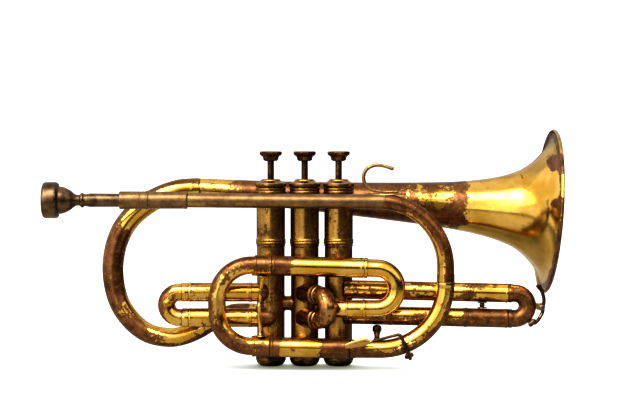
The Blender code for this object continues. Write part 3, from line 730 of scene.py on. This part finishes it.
def make_mouthpiece():
    line = axis_line((MOUTHPIECE_X, FRONT_Y, PIPE_LEFT_Z), (1, 0, 0))
    outside = [(0, 9.4), (0, 11.2), (0.5, 12.2), (1.6, 12.8), (3, 12.9), (9.2, 12.9),
               (10.4, 12.5), (11, 11.6), (11.3, 10.2), (12, 9.8), (14.6, 9.4), (17, 8.4),
               (19.8, 6.9), (21.8, 5.1), (23.6, 4), (25.4, 3.8), (26.6, 4.3), (27.2, 5.2),
               (28.4, 5.3), (29.2, 4.4), (30.4, 4.3), (32.2, 4.6), (33.2, 4.9), (62, 4.6),
               (78, 4.2)]
    bore = [(78, 1.9), (24, 1.4), (18, 3.4), (12, 6.2), (6, 7.6), (1.6, 8.2), (0.4, 8.7)]
    revolve("mouthpiece", line, outside + bore, PEWTER, wear=0.14, sides=TURNED_SIDES, edge=0.4)


def leadpipe_wear(p, n):
    under = ramp(-n.z, 0.05, 0.45)
    return 0.98 - 0.45 * under * (1 - ramp(p.x, 20, 40)) - 0.1 * ramp(p.x, 30, 55)


def inward(p, n, x, z, reach, x_share=1, z_share=1):
    """How far a surface faces the middle (x, z) of a bow: about 1 inside and -1 outside."""
    return -((p.x - x) * n.x * x_share + (p.z - z) * n.z * z_share) / reach


def bend_wear(p, n):
    """Brown along the outside of the bend, flaking to gold along the inside."""
    inner = inward(p, n, 53.3, 72.5, 46)
    amount = 0.85 - 0.75 * ramp(inner, 0.15, 0.8) * (1 - ramp(p.z, 108, 116))
    return amount - 0.35 * (1 - ramp(p.z, 74, 86)) * ramp(inner, -0.4, 0.3)


def right_bow_wear(p, n):
    inner = inward(p, n, 53.7, 61, 46)
    amount = 0.22 - 0.35 * ramp(inner, 0, 0.8) + 0.75 * ramp(-inner, 0.25, 0.8)
    amount += 0.7 * (1 - ramp(p.x, 50, 62)) * ramp(-n.z, -0.3, 0.3)
    return amount + 0.2 * spot(p, 78, 24, 12)


def make_leadpipe():
    line = axis_line((RECEIVER_X, FRONT_Y, PIPE_LEFT_Z), (1, 0, 0))
    outer = [(0, 5.9), (0.6, 6.3), (14.6, 6.3), (14.8, 6.1), (15.2, 6.1), (15.4, 6.3),
             (18.9, 6.3), (19.1, 6.6), (20.4, 6.6), (20.7, 6.1), (46.4, 6.1), (46.6, 6.3),
             (47.9, 6.3), (48.2, 6)]
    revolve("receiver", line, outer + [(48.2, 5.2), (0, 5.2)], TARNISH,
            wear=lambda p, n: 0.93 - 0.35 * ramp(-n.z, 0.3, 0.8))
    path = rounded_path([(LEADPIPE_X, FRONT_Y, PIPE_LEFT_Z), (28, FRONT_Y, LEADPIPE_Z),
                         (RIGHT_BOW_X, FRONT_Y, LEADPIPE_Z),
                         (RIGHT_BOW_X, FRONT_Y, RIGHT_BOW_JOINT_Z)], [800, 46.8], 160)
    line = Line(path)
    ring, split, straight = line.length - 5.5, HOOK_FOOT_X - LEADPIPE_X, 110
    taper = 0.9 / (ring - straight)
    split_r = PIPE_R + taper * (split - straight)
    outer = [(0, PIPE_R), (straight, PIPE_R), (split, split_r)]
    revolve("leadpipe", line, shell(outer), TARNISH, wear=leadpipe_wear)
    outer = [(split, split_r), (ring, 6.1), (ring + 0.1, 6.35), (line.length, 6.35)]
    revolve("leadpipe_bend", line, shell(outer), LACQUER, wear=bend_wear, body="horn", edge=0)
    path = rounded_path([(RIGHT_BOW_X, FRONT_Y, RIGHT_BOW_JOINT_Z - 0.3),
                         (RIGHT_BOW_X, FRONT_Y, RIGHT_BOW_CORNER_Z),
                         sloped(LOOP_SLEEVE_END[1] + 1, FRONT_Y, LOOP_Z[1])], [RIGHT_BOW_R], 160)
    line = Line(path)
    outer = [(0, 6.6), (2.2, 6.6), (2.5, 6.4), (line.length - 4, 6.4), (line.length - 3.7, 6.65),
             (line.length, 6.65)]
    revolve("right_bow", line, shell(outer), LACQUER, wear=right_bow_wear)


def upper_sleeve_wear(p, n):
    return 0.05 + 0.95 * (1 - ramp(p.x, -14, -4)) + 0.65 * ramp(n.z, 0.72, 0.95)


def lower_sleeve_wear(p, n):
    amount = 0.15 + 0.95 * ramp(p.x, 8, 16) + 0.75 * (1 - ramp(p.x, -20, -16))
    return amount + 0.45 * spot(p, -9, 15, 5) + 0.3 * ramp(abs(n.z), 0.85, 1)


def tuning_bow_wear(p, n):
    inner = inward(p, n, -37, 45, 29, x_share=0.9)
    amount = 0.62 - 0.65 * ramp(inner, 0.15, 0.7) + 0.35 * ramp(-inner, 0.2, 0.8)
    amount += 0.6 * spot(p, -50, 18, 18) - 0.35 * spot(p, -62, 44, 24)
    return amount + 0.3 * ramp(p.x, -42, -32) * ramp(p.z, 50, 60)


def make_front_loop():
    names = ("main_sleeve_upper", "main_sleeve_lower")
    for name, first, last, z, wear in zip(names, LOOP_SLEEVE_START, LOOP_SLEEVE_END, LOOP_Z,
                                          (upper_sleeve_wear, lower_sleeve_wear)):
        line = Line([sloped(first, FRONT_Y, z), sloped(last, FRONT_Y, z)])
        r, end = LOOP_SLEEVE_R, line.length
        outer = [(0, r + 0.3), (0.5, r + 0.3), (0.7, r + 0.1), (1.1, r + 0.1), (1.3, r + 0.3),
                 (1.8, r + 0.3), (2.1, r), (end - 2.2, r), (end - 2, r + 0.12), (end, r + 0.12)]
        revolve(name, line, outer + [(end, SLEEVE_BORE_R), (0, SLEEVE_BORE_R)], LACQUER, wear=wear)

    leg, ferrule, corner = 40, 12.6, 24.7
    upper = sloped(LOOP_SLEEVE_START[0], FRONT_Y, LOOP_Z[0])
    lower = sloped(LOOP_SLEEVE_START[1], FRONT_Y, LOOP_Z[1])
    line = Line(rounded_path([upper - LOOP_OUT * leg, sloped(LOOP_LEFT_X, FRONT_Y, LOOP_Z[0]),
                              sloped(LOOP_LEFT_X, FRONT_Y, LOOP_Z[1]), lower - LOOP_OUT * leg],
                             [corner, corner], 160))
    half = [(0, LEG_R), (leg + 0.3, LEG_R), (leg + 0.4, 7.3), (leg + 1.4, 7.3), (leg + 1.6, 7),
            (leg + ferrule - 1.8, 7), (leg + ferrule - 1.6, 7.25), (leg + ferrule - 0.2, 7.25),
            (leg + ferrule, BOW_R)]
    revolve("tuning_bow", line, shell(both_ends(half, line.length), SLEEVE_WALL), LACQUER,
            wear=tuning_bow_wear)


def make_tuning_brace():
    top = sloped(-29.6, FRONT_Y - 1.5, LOOP_Z[0] - 7.4)
    foot = sloped(-31, FRONT_Y - 1.5, LOOP_Z[1] + 7.4)
    bow_side = top + Vector((-2.6, 0, -26))
    line = Line(smooth([top, top.lerp(bow_side, 0.5) + Vector((-0.3, 0, 0)), bow_side,
                        bow_side.lerp(foot, 0.55) + Vector((0.2, 0, 0)), foot], 8))
    length = line.length
    end = [(0, 0), (0, 3.4), (0.7, 3.3), (1.1, 2.2), (2, 1.6), (3.6, 1.4)]
    outline = both_ends(end, length, shifted(length / 2, [(-2.4, 1.4), (0, 1.9), (2.4, 1.4)]))
    revolve("tuning_brace", line, outline, LACQUER, wear=0.35, sides=32, step=1)
    for name, z, way in (("upper", LOOP_Z[0], -1), ("lower", LOOP_Z[1], 1)):
        centre = sloped(-30.3, FRONT_Y, z) + Vector((0, 0, way * 7.05))
        plate("tuning_flange_" + name, centre, LOOP_OUT, (0, -0.25, way), (7.5, 5.2), 7.1, LACQUER,
              thickness=0.45, wear=0.45, body="tuning_slide")


def make_crook():
    crook_r, side_x = 14.6, 65.4
    upper = sloped(LOOP_SLEEVE_END[0] + 0.3, FRONT_Y, LOOP_Z[0])
    low_z = upper.z - 2 * crook_r
    elbow_x = VALVES_X[2] - 2.8
    path = rounded_path([upper, (side_x, FRONT_Y, upper.z - 0.6), (side_x, FRONT_Y, low_z),
                         (elbow_x, FRONT_Y, low_z), (elbow_x, -3, low_z)],
                        [crook_r - 0.4, crook_r - 0.4, 7])
    line = Line(path)
    ring = line.length - 36
    rings = [(0, BOW_R), (0.2, 6.75), (2, 6.75), (2.2, BOW_R), (12.6, BOW_R), (12.8, 6.6),
             (13.8, 6.6), (14, BOW_R)]
    outer = [(0, 7.3), (2.2, 7.3), (2.5, BOW_R), *shifted(ring, rings), (line.length, BOW_R)]

    def wear(p, n):
        outer_edge = ramp(n.x * 0.7 + n.z * 0.7, 0.55, 0.95)
        return -0.15 + outer_edge + 0.45 * ramp(-p.x, -34, -26)
    revolve("crook", line, shell(outer), LACQUER, wear=wear, mould=to_casing(VALVES_X[2]))


# ---- valve slides

def bow_line(upper, lower, out, leg, ferrule, radius):
    """From the end of one leg, round the bow, to the end of the other leg."""
    reach = out * (ferrule + 2 + radius)
    return Line(rounded_path([upper - out * leg, upper + reach, lower + reach, lower - out * leg],
                             [radius * 0.998, radius * 0.998], 120))


def bow_outline(line, leg, ferrule, ferrule_r):
    half = [(0, LEG_R), (leg + 0.3, LEG_R), (leg + 0.5, ferrule_r), (leg + ferrule, ferrule_r),
            (leg + ferrule + 0.3, BOW_R)]
    return shell(both_ends(half, line.length), SLEEVE_WALL)


def sleeve_outline(length, rings, end_ring=True, knuckle=None):
    """A sleeve with raised rings at the given places; a knuckle closes its start with a dome."""
    r, high = SLIDE_SLEEVE_R, SLIDE_SLEEVE_R + 0.35
    if knuckle is None:
        outer = [(0, r)]
        bore = [(length, SLEEVE_BORE_R), (0, SLEEVE_BORE_R)]
    else:
        outer = [(knuckle + r * (1 - cos(radians(a))), r * sin(radians(a)))
                 for a in range(0, 91, 15)]
        bore = [(length, SLEEVE_BORE_R), (knuckle + 16, SLEEVE_BORE_R), (knuckle + 16, 0)]
    for s in rings:
        ring = [(-1.1, r), (-0.9, high), (-0.25, high), (-0.15, high - 0.2)]
        outer += shifted(s, both_ends(ring))
    if end_ring:
        outer += [(length - 1.6, r), (length - 1.4, r + 0.2), (length, r + 0.2)]
    else:
        outer.append((length, r))
    return outer + bore


def make_first_slide():
    for name, z, knuckle in (("first_sleeve_upper", FIRST_Z[0], -2),
                             ("first_sleeve_lower", FIRST_Z[1], -6.5)):
        line = Line([(VALVES_X[0] - 2, SLIDE_Y, z), (FIRST_END_X, SLIDE_Y, z)])
        outline = sleeve_outline(line.length, [VALVES_X[0] - 2 - FIRST_RING_X + 1.1],
                                 knuckle=knuckle)
        revolve(name, line, outline, LACQUER, mould=to_casing(VALVES_X[0]),
                wear=lambda p, n: 0.26 + 0.3 * ramp(abs(n.z), 0.75, 1)
                + 0.5 * ramp(p.x, -36, -30))
    ends = [Vector((FIRST_END_X, SLIDE_Y, z)) for z in FIRST_Z]
    radius = (FIRST_Z[0] - FIRST_Z[1]) / 2
    line = bow_line(ends[0], ends[1], FIRST_OUT, 36, 5, radius)

    def wear(p, n):
        return 0.30 + 0.8 * ramp(-n.x, 0.15, 0.7) - 0.25 * ramp(n.x, 0.1, 0.8)
    revolve("first_bow", line, bow_outline(line, 36, 5, SLIDE_SLEEVE_R), LACQUER, wear=wear)
    centre = (ends[0] + ends[1]) / 2 + FIRST_OUT * (7 + radius)
    boss = [(-1, 0), (-1, 2.6), (0.5, 2.6), (0.9, 2.2), (0.9, 1.8), (1.5, 1.6), (1.9, 0.9),
            (2, 0)]
    turned("first_bow_boss", centre + Vector((0.6, -BOW_R + 0.6, 2)), (0, -1, 0.1), boss, LACQUER,
           wear=0.2, body="first_slide", sides=32)


def make_second_slide():
    ends = []
    for name, z in zip(("second_sleeve_upper", "second_sleeve_lower"), SECOND_Z):
        start = SECOND_START + Vector((0, 0, z))
        end = start + SECOND_OUT * SECOND_LENGTH
        ends.append(end)
        line = Line([start - SECOND_OUT * 3, end])
        revolve(name, line, sleeve_outline(line.length, [line.length - 1.1], False), COPPER,
                wear=0.42, mould=to_casing(VALVES_X[1]), step=1)
    radius = (SECOND_Z[0] - SECOND_Z[1]) / 2
    line = bow_line(ends[0], ends[1], SECOND_OUT, 5, 3, radius)
    revolve("second_bow", line, bow_outline(line, 5, 3, SLIDE_SLEEVE_R), COPPER, wear=0.45)
    middle = (ends[0] + ends[1]) / 2 + SECOND_OUT * 5
    end = [(-5.2, 0), (-5.1, 1.1), (-4.6, 1.8), (-3.8, 2), (-2.6, 1.75), (-1.2, 1.5)]
    outline = both_ends(end, middle=[(0, 1.45)])
    turned("second_pull_knob", middle, SECOND_OUT.cross(UP), outline, BRONZE,
           wear=0.1, sides=40)


# Painted light and shade: upward faces stay gold, the underside goes brown; all brown at the right
# end.
def third_wear(p, n):
    amount = 0.62 - 0.6 * ramp(n.z, 0.1, 0.8) + 0.4 * ramp(-n.z, 0.3, 0.9)
    return amount + 1.6 * ramp(p.x, 113, 116.5)


def make_third_slide():
    start_x = VALVES_X[2] + 4
    for name, z, rings in (("third_sleeve_upper", THIRD_Z[0], (61.6,)),
                           ("third_sleeve_lower", THIRD_Z[1], (61.6, 115.6))):
        line = Line([sloped(start_x, SLIDE_Y, z), sloped(THIRD_END_X, SLIDE_Y, z)])
        outline = sleeve_outline(line.length, [x - start_x for x in rings])
        low = name.endswith("lower")
        # Painted shade: the upper sleeve's underside goes browner.
        revolve(name, line, outline, LACQUER, mould=to_casing(VALVES_X[2]),
                wear=third_wear if low else lambda p, n: 0.40 + 0.3 * ramp(-n.z, 0.2, 0.8))
    ends = [sloped(THIRD_END_X, SLIDE_Y, z) for z in THIRD_Z]
    line = bow_line(ends[0], ends[1], THIRD_OUT, 27, 3.2, (THIRD_Z[0] - THIRD_Z[1]) / 2)
    # Painted light: the bow's upward faces stay more gold.
    revolve("third_bow", line, bow_outline(line, 27, 3.2, SLIDE_SLEEVE_R), LACQUER,
            wear=lambda p, n: 0.95 - 0.35 * ramp(n.z, 0.2, 0.9))
    ball_x = 127.4
    top = sloped(ball_x, SLIDE_Y, THIRD_Z[0]).z - SLIDE_SLEEVE_R - 0.3
    foot = sloped(ball_x, SLIDE_Y, THIRD_Z[1]).z + SLIDE_SLEEVE_R + 0.4
    half = (top - foot) / 2
    tip = [(-half, 0), (-half, 3.6), (0.4 - half, 3.3), (0.8 - half, 1)]
    outline = both_ends(tip, middle=ball(0, 1.95, 8)[2:-2])
    turned("third_brace", (ball_x, SLIDE_Y, (top + foot) / 2), UP, outline, BRONZE,
           wear=0.35, sides=40, edge=0.12, step=0.6)


# ---- bell

def bell_point(distance):
    return BELL_START + BELL_AXIS * distance


def bell_wear(p, n):
    """Brown along the throat, flaking to clean gold on the flare."""
    amount = 1.25 - 0.30 * ramp(p.x, 62, 84) - 1.35 * ramp(p.x, 112, 130)
    amount -= 0.42 * spot(p, 92, 125, 24) + 0.35 * spot(p, 70, 124, 9)
    amount -= 0.75 * ramp(n.z, 0.60, 0.90) * ramp(p.x, 92, 110)
    amount += 1.3 * spot(p, 179, 118, 6.5) + 1.25 * spot(p, 180, 146, 9.5)
    amount += 0.9 * spot(p, 158, 136, 3) + 0.8 * spot(p, 141, 131, 2.5)
    to_rim = (BELL_END - p).dot(BELL_AXIS)
    amount += 1.3 * (1 - ramp(to_rim, 1.4, 2.6))
    top_band = ramp(n.z, 0.60, 0.85)
    return amount - 1.05 * (1 - ramp(p.x, -68, -36)) * (1 - top_band)


def make_bell():
    length = (BELL_END - BELL_START).length
    stations = [0, 0.24, 0.46, 0.63, 0.74, 0.83, 0.89, 0.93, 0.963, 0.985, 1]
    widths = [8, 9.8, 12.6, 15.4, 18, 21.9, 26.7, 32.4, 40.4, 48.8, BELL_RIM_R - RIM_WIRE_R]
    points = smooth([Vector((s * length, r)) for s, r in zip(stations, widths)], 8)
    outer = [tuple(p) for p in points]
    inner = [(s + min(0.9, 0.02 * r), r - 0.6) for s, r in outer]
    inner[0] = (0, inner[0][1])
    last_s, last_r = outer.pop()
    inner.pop()
    turn = [radians(d) for d in range(150, -131, -28)]
    wire = [(last_s + RIM_WIRE_R * (sin(a) - 0.2), last_r + RIM_WIRE_R * cos(a))
            for a in turn]
    turned("bell", BELL_START, BELL_AXIS, outer + wire + inner[::-1], LACQUER, wear=bell_wear,
           edge=0, sides=144)


def bell_bow_wear(p, n):
    """Gold along the inside and at both ends, brown round the middle of the bow."""
    inner = inward(p, n, -100, 73, 40, z_share=0.8)
    brown = ramp(p.z, 34, 50) * (1 - ramp(p.z, 90, 104))
    amount = 0.22 + 0.75 * brown - 0.75 * ramp(inner, 0.55, 0.95)
    amount += 0.65 * ramp(-inner, 0.45, 0.85) * (1 - 0.6 * brown)
    low_left = (1 - ramp(p.z, 30, 46)) * (1 - ramp(p.x, -118, -108))
    amount += 0.55 * low_left + 0.45 * ramp(p.x, -72, -62) * (1 - ramp(p.z, 60, 80))
    return amount


def make_bell_bow():
    through = [(-30, 6, 37.4), (-41, 10.5, 37.5), (-53, 12, 36.6), (-66, 12.6, 31.4),
               (-77, 13, 24.8), (-88.2, 13.2, 20.2), (-100, 13.6, 18.6), (-115, 14.2, 22),
               (-128, 15.2, 32.4), (-137, 16.6, 47.6), (-140.4, 18.2, 68.5), (-137, 19.6, 89),
               (-127.5, 20.6, 105.5), (-111, 21.2, 118.6), (-94, 21.6, 125.4),
               bell_point(-4), bell_point(-0.3)]
    line = Line(smooth([Vector(p) for p in through], 10))
    outer = [(0, 6.3), (0.72 * line.length, 7.9), (line.length - 6, 7.9),
             (line.length - 5.8, 8), (line.length, 8)]
    revolve("bell_bow", line, shell(outer), LACQUER, wear=bell_bow_wear,
            mould=to_casing(VALVES_X[0]))


# ---- braces, hook and post

def spool(length):
    """The outline of a short brace with a flange at each end."""
    half = length / 2
    side = [(-half, 0), (-half, 3.4), (0.5 - half, 3.4), (0.9 - half, 2.2), (1.4 - half, 1.5)]
    return both_ends(side, middle=[(0, 1.9)])


def make_braces():
    low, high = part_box("leadpipe_brace")
    turned("leadpipe_brace", (0, (low.y + high.y) / 2 / MM, LEADPIPE_Z), (0, 1, 0),
           spool((high.y - low.y) / MM), BRONZE, wear=0.2, sides=40, step=0.6)
    low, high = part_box("bell_brace")
    turned("bell_brace", (0, (low.y + high.y) / 2 / MM, (low.z + high.z) / 2 / MM), (0, 1, 0),
           spool((high.y - low.y) / MM), BRONZE, wear=0.2, sides=40, step=0.6)
    top = sloped(51.8, SLIDE_Y - 3, THIRD_Z[1]).z - SLIDE_SLEEVE_R - 0.9
    foot = sloped(51.6, FRONT_Y + 3.5, LOOP_Z[1]) + Vector((0, 0, 6.4))
    head = Vector((51.8, SLIDE_Y - 4.5, top))
    length = (foot - head).length
    outline = [(0, 0), (0, 2.9), (0.8, 3.3), (3.2, 3.3), (4, 2.6), (4.6, 2)]
    outline += [(length * 0.42, 2), (length * 0.5, 2.6), (length * 0.58, 2),
                (length - 1.6, 1.9), (length - 0.4, 2.6), (length, 2.6), (length, 0)]
    turned("slide_post", head, foot - head, outline, BRONZE, wear=0.05, sides=40)


def make_finger_hook():
    pipe_top = LEADPIPE_Z + PIPE_R
    plan = [(66.5, pipe_top + 1.7), (56, pipe_top + 1.7), (48.5, pipe_top + 2.9),
            (44.4, pipe_top + 5.2), (42.2, 133.4), (42, 138.4), (44.9, 142.9), (50.6, 145),
            (57.2, 144.1), (63.2, 142.2)]
    path = smooth([Vector((x, FRONT_Y, z)) for x, z in plan], 6)
    rod("finger_hook", path, [0.95, 0.95, 1.1, 1.3, 1.35, 1.35, 1.3, 1.15, 1.4], TARNISH, wear=0.3,
        sides=32)
    plate("finger_hook_foot", (HOOK_FOOT_X, FRONT_Y, pipe_top + 0.1), (1, 0, 0), UP, (15, 3),
          PIPE_R, TARNISH, thickness=0.8, wear=0.1)


# ---- water keys

def make_key(number, pivot, hinge, path, radii, cork_at, cork_way, away, base, leaf,
             pin_reach):
    """Lever with its barrel and cork cup, the saddle with two ears, the pin and the cork."""
    hinge = Vector(hinge).normalized()
    cork_way = Vector(cork_way).normalized()
    body = body_of(frame["nodes"]["water_key_" + number])[0]
    rod("water_key_" + number, smooth(path, 6), radii, BRONZE, tip=0.8, mould=leaf,
        wear=lambda p, n: 0.15 + (0.9 * ramp(-p.x, -49, -46) if leaf else 0))
    barrel = [(-2.6, 0.95), (-2.6, 1.9), (-2, 2), (-1.7, 1.8), (1.7, 1.8), (2, 2),
              (2.6, 1.9), (2.6, 0.95)]
    turned("key_barrel_" + number, pivot, hinge, barrel, BRONZE, wear=0.3, body=body, sides=32)
    cup = [(1.5, 0), (1.5, 2.7), (0.9, 2.8), (0.9, 3.3), (2.6, 3.4), (3.2, 2.9), (3.5, 2),
           (3.6, 0)]
    turned("key_cup_" + number, cork_at, cork_way, cup, BRONZE, wear=0.2, body=body,
           sides=40)
    pad = [(0.05, 0), (0.05, 2.4), (0.3, 2.65), (1.4, 2.7), (1.4, 0)]
    turned("key_cork_" + number, cork_at, cork_way, pad, CORK, wear=0.5, sides=40)
    saddle_body = body_of(frame["nodes"]["key_saddle_" + number])[0]
    pin = [(-pin_reach, 0), (-pin_reach, 1.3), (0.5 - pin_reach, 2), (1.6 - pin_reach, 2.1),
           (2.2 - pin_reach, 1.4), (-5.3, 1.4), (-5.3, 0.75), (5.3, 0.75), (5.3, 1.4),
           (pin_reach - 1.2, 1.4), (pin_reach - 0.4, 1.1), (pin_reach, 0)]
    turned("key_pin_" + number, pivot, hinge, pin, OLD_STEEL, wear=0.5, sides=24)
    ears = ear_mesh("fine_key_saddle_" + number, pivot, hinge, Vector(away), Vector(base))
    show("fine_key_saddle_" + number, ears, BRONZE, ["key_saddle_" + number])
    coil = []
    spring_r, per_turn = 1.55 + 0.95, 14
    start = pivot - hinge * 3.6
    side = Vector(away).normalized()
    other = hinge.cross(side)
    for k in range(3 * per_turn + 1):
        turn = 2 * pi * k / per_turn
        coil.append(start + hinge * (0.75 * k / per_turn)
                    + (side * cos(turn) + other * sin(turn)) * spring_r)
    rod("key_spring_" + number, coil, [0.28, 0.28], OLD_STEEL, tip=0.2, sides=8, edge=0.02,
        body=saddle_body, wear=0.5)


def ear_mesh(name, pivot, hinge, away, base):
    """A strap on the tube with a rounded ear at each end."""
    up = away.normalized()
    across = hinge.cross(up)
    height = away.length
    verts, faces, runs = [], [], []

    def slab(outline, low, high):
        """Extrude an outline of (across, up) between two places along the hinge."""
        start = len(verts)
        count = len(outline)
        for along in (low, high):
            for a, b in outline:
                verts.append(base + across * a + up * b + hinge * along)
                runs.append((along, a, b))
        faces.append(tuple(range(start, start + count)))
        faces.append(tuple(range(start + 2 * count - 1, start + count - 1, -1)))
        faces.extend(bridge([range(start, start + count), range(start + count, start + 2 * count)]))

    slab([(-2.1, 0), (2.1, 0), (2.1, 0.55), (1.8, 0.8), (-1.8, 0.8), (-2.1, 0.55)], -5.2, 5.2)
    round_top = [(2 * cos(radians(a)), height + 2 * sin(radians(a)))
                 for a in range(-10, 191, 20)]
    ear = [(-1.8, 0.7), (1.8, 0.7)] + round_top
    for side in (-1, 1):
        slab(ear, side * 4.2 - 0.9, side * 4.2 + 0.9)
    return make_mesh(name, verts, faces, runs, even(0.25))


def make_water_keys():
    angle = radians(22)
    along = Vector((cos(angle), 0, sin(angle)))
    outward = Vector((sin(angle), 0, -cos(angle)))
    front = Vector((0, -1, 0))
    bow_x, bow_z = RIGHT_BOW_X - RIGHT_BOW_R, RIGHT_BOW_CORNER_Z + RIGHT_BOW_R
    centre = Vector((bow_x, FRONT_Y, bow_z)) + outward * RIGHT_BOW_R
    base = centre + front * 6.7
    pivot = base + front * 3
    cork_at = centre + outward * 6.7
    path = [cork_at + outward * 3.3, cork_at + outward * 3.3 + front * 3.6,
            cork_at - outward * 0.6 + front * 8.2, pivot + front * 1.2,
            pivot + front * 1.8 - outward * 4.2]
    touch = [(67.2, 11, 25.4), (63.6, 10.6, 25.2), (53, 10.2, 22.4), (46.6, 10.4, 20.8),
             (44, 10.4, 20.6), (41, 10.5, 20.4), (34, 10.7, 18.8), (28.6, 10.8, 17.4)]
    path += [Vector((x, FRONT_Y - reach, z)) for x, reach, z in touch]

    def leaf(point, centre, out, s, angle):
        """The touch piece is a thin leaf facing the viewer."""
        flat = ramp(-point.x, -48, -45)
        offset = point - centre
        return centre + Vector((offset.x, offset.y * (1 - 0.7 * flat), offset.z))
    make_key("1", pivot, along, path,
             [1.3, 1.4, 1.5, 1.6, 1.4, 1.25, 1.05, 0.95, 1, 2.4, 3, 2.5, 1.7],
             cork_at, outward, front * 3, base, leaf, 9)

    upper, lower = [sloped(THIRD_END_X, SLIDE_Y, z) for z in THIRD_Z]
    half = (THIRD_Z[0] - THIRD_Z[1]) / 2
    centre = (upper + lower) / 2 + THIRD_OUT * 5.2
    base = centre + THIRD_OUT * (half + 6.6)
    pivot = base + THIRD_OUT * 3
    way = Vector((0.72, 0, -0.69))
    cork_at = centre + way * (half + 6.6)
    path = [cork_at + way * 3.2, cork_at + way * 3 + Vector((3.2, 0, 2.4)),
            pivot + Vector((1.2, 0, -4.4)), pivot + Vector((1.6, 0, 0)),
            pivot + Vector((2.2, -1, 5)), pivot + Vector((0.6, -1, 11)),
            pivot + Vector((-2.6, -1, 16))]
    make_key("2", pivot, (0, 1, 0), path, [1.3, 1.3, 1.3, 1.5, 1.3, 1.3, 1.8], cork_at, way,
             THIRD_OUT * 3, base, None, 7.6)


# ---- studio

def make_floor():
    """White to the camera, with a shade where the caps stand; dull in reflections."""
    mesh = bpy.data.meshes.new("floor")
    work = bmesh.new()
    bmesh.ops.create_grid(work, x_segments=8, y_segments=8, size=0.85)
    work.to_mesh(mesh)
    work.free()
    floor = add("floor", mesh)
    g = Graph(bpy.data.materials.new("pale_floor"))
    g.shader.inputs["Specular IOR Level"].default_value = 0.1
    direct = g.node("ShaderNodeLightPath").outputs["Is Camera Ray"]
    open_sky = g.node("ShaderNodeAmbientOcclusion", samples=16)
    open_sky.inputs["Distance"].default_value = 0.045
    shade = g.level(open_sky.outputs["AO"], 0.15, 0.80)
    seen = g.mix(shade, (0.20, 0.205, 0.15), (1, 1, 1))
    away = g.node("ShaderNodeVectorMath", operation="LENGTH")
    g.feed(away.inputs[0], g.coordinates["Object"])
    far = g.level(away.outputs["Value"], 0.25, 0.60)
    dull = g.mix(far, (0.40, 0.40, 0.39), (0.05, 0.05, 0.048))
    g.feed(g.shader.inputs["Emission Color"], seen)
    g.feed(g.shader.inputs["Emission Strength"], direct)
    base = g.mix(direct, dull, (0, 0, 0))
    mesh.materials.append(g.finish(base, 0, 0.6)["material"])


def make_world():
    """White to the camera; in reflections a dark room with a few soft lights."""
    world = bpy.data.worlds.new("studio")
    bpy.context.scene.world = world
    world.use_nodes = True
    world.node_tree.nodes.clear()
    g = Graph(world)
    axes = g.node("ShaderNodeSeparateXYZ")
    g.feed(axes.inputs[0], g.coordinates["Generated"])
    x, y, z = axes.outputs
    panels = {
        "front": [(z, 0.17, 0.34, 0, 1.3), (y, -0.10, -0.42), (x, -0.15, -0.45, 1, 2.8)],
        "above": [(z, 0.45, 0.85, 0, 0.8)],
        "left": [(x, -0.02, -0.18, 0, 1.5), (x, -0.80, -0.55), (z, -0.35, -0.15),
                 (y, -0.2, -0.5)],
        "behind": [(y, 0.25, 0.7, 0, 0.55), (z, 0, 0.3)],
        "flank": [(x, -0.50, -0.70), (z, -0.4, -0.1)],
    }
    lights = [reduce(g.times, [g.level(*edge) for edge in edges]) for edges in panels.values()]
    light = g.math("ADD", reduce(partial(g.math, "MAXIMUM"), lights), 0.025)

    room, backdrop = g.node("ShaderNodeBackground"), g.node("ShaderNodeBackground")
    g.feed(room.inputs["Strength"], light)
    g.feed(room.inputs["Color"], (1, 0.985, 0.96))
    g.feed(backdrop.inputs["Color"], (1, 1, 1))
    mix = g.node("ShaderNodeMixShader")
    direct = g.node("ShaderNodeLightPath").outputs["Is Camera Ray"]
    for socket, value in zip(mix.inputs, (direct, room.outputs[0], backdrop.outputs[0])):
        g.feed(socket, value)
    g.feed(g.node("ShaderNodeOutputWorld").inputs["Surface"], mix.outputs[0])


def make_light(name, at, target, size, power):
    light = bpy.data.lights.new(name, "AREA")
    light.shape = "RECTANGLE"
    light.size, light.size_y = size
    light.energy = power
    obj = add(name, light)
    obj.location = at
    obj.rotation_euler = (Vector(target) - Vector(at)).to_track_quat("-Z", "Y").to_euler()


def make_camera():
    camera = add("camera", bpy.data.cameras.new("camera"))
    camera.data.lens = 99.94
    camera.data.sensor_width = 36
    camera.location = (0.006, -1.25, 0.168)
    camera.rotation_euler = (radians(90 - 2.5), 0, 0)
    camera.data.clip_start = 0.05
    bpy.context.scene.camera = camera


def make_studio():
    make_camera()
    make_floor()
    make_world()
    make_light("softbox", (-0.30, -0.85, 1.15), (0, 0, 0.06), (1.2, 0.7), 14)
    bpy.context.scene.view_settings.view_transform = "Standard"
    bpy.context.scene.view_settings.look = "High Contrast"


def paint_cad_nodes():
    """Finishes for the CAD solids that stay: the pistons and the valve guides."""
    for number in "123":
        for name, finish in (("piston_" + number, NICKEL), ("valve_guide_" + number, BRONZE)):
            obj = frame["nodes"][name]
            for slot in obj.material_slots:
                slot.material = finish["material"]


for valve, valve_x in zip("123", VALVES_X):
    for make in (make_casing, make_caps, make_valve_top, make_spring):
        make(valve, valve_x)
for make in (make_crossovers, make_mouthpiece, make_leadpipe, make_front_loop,
             make_tuning_brace, make_crook, make_first_slide, make_second_slide,
             make_third_slide, make_bell, make_bell_bow, make_braces, make_finger_hook,
             make_water_keys, paint_cad_nodes, make_studio):
    make()
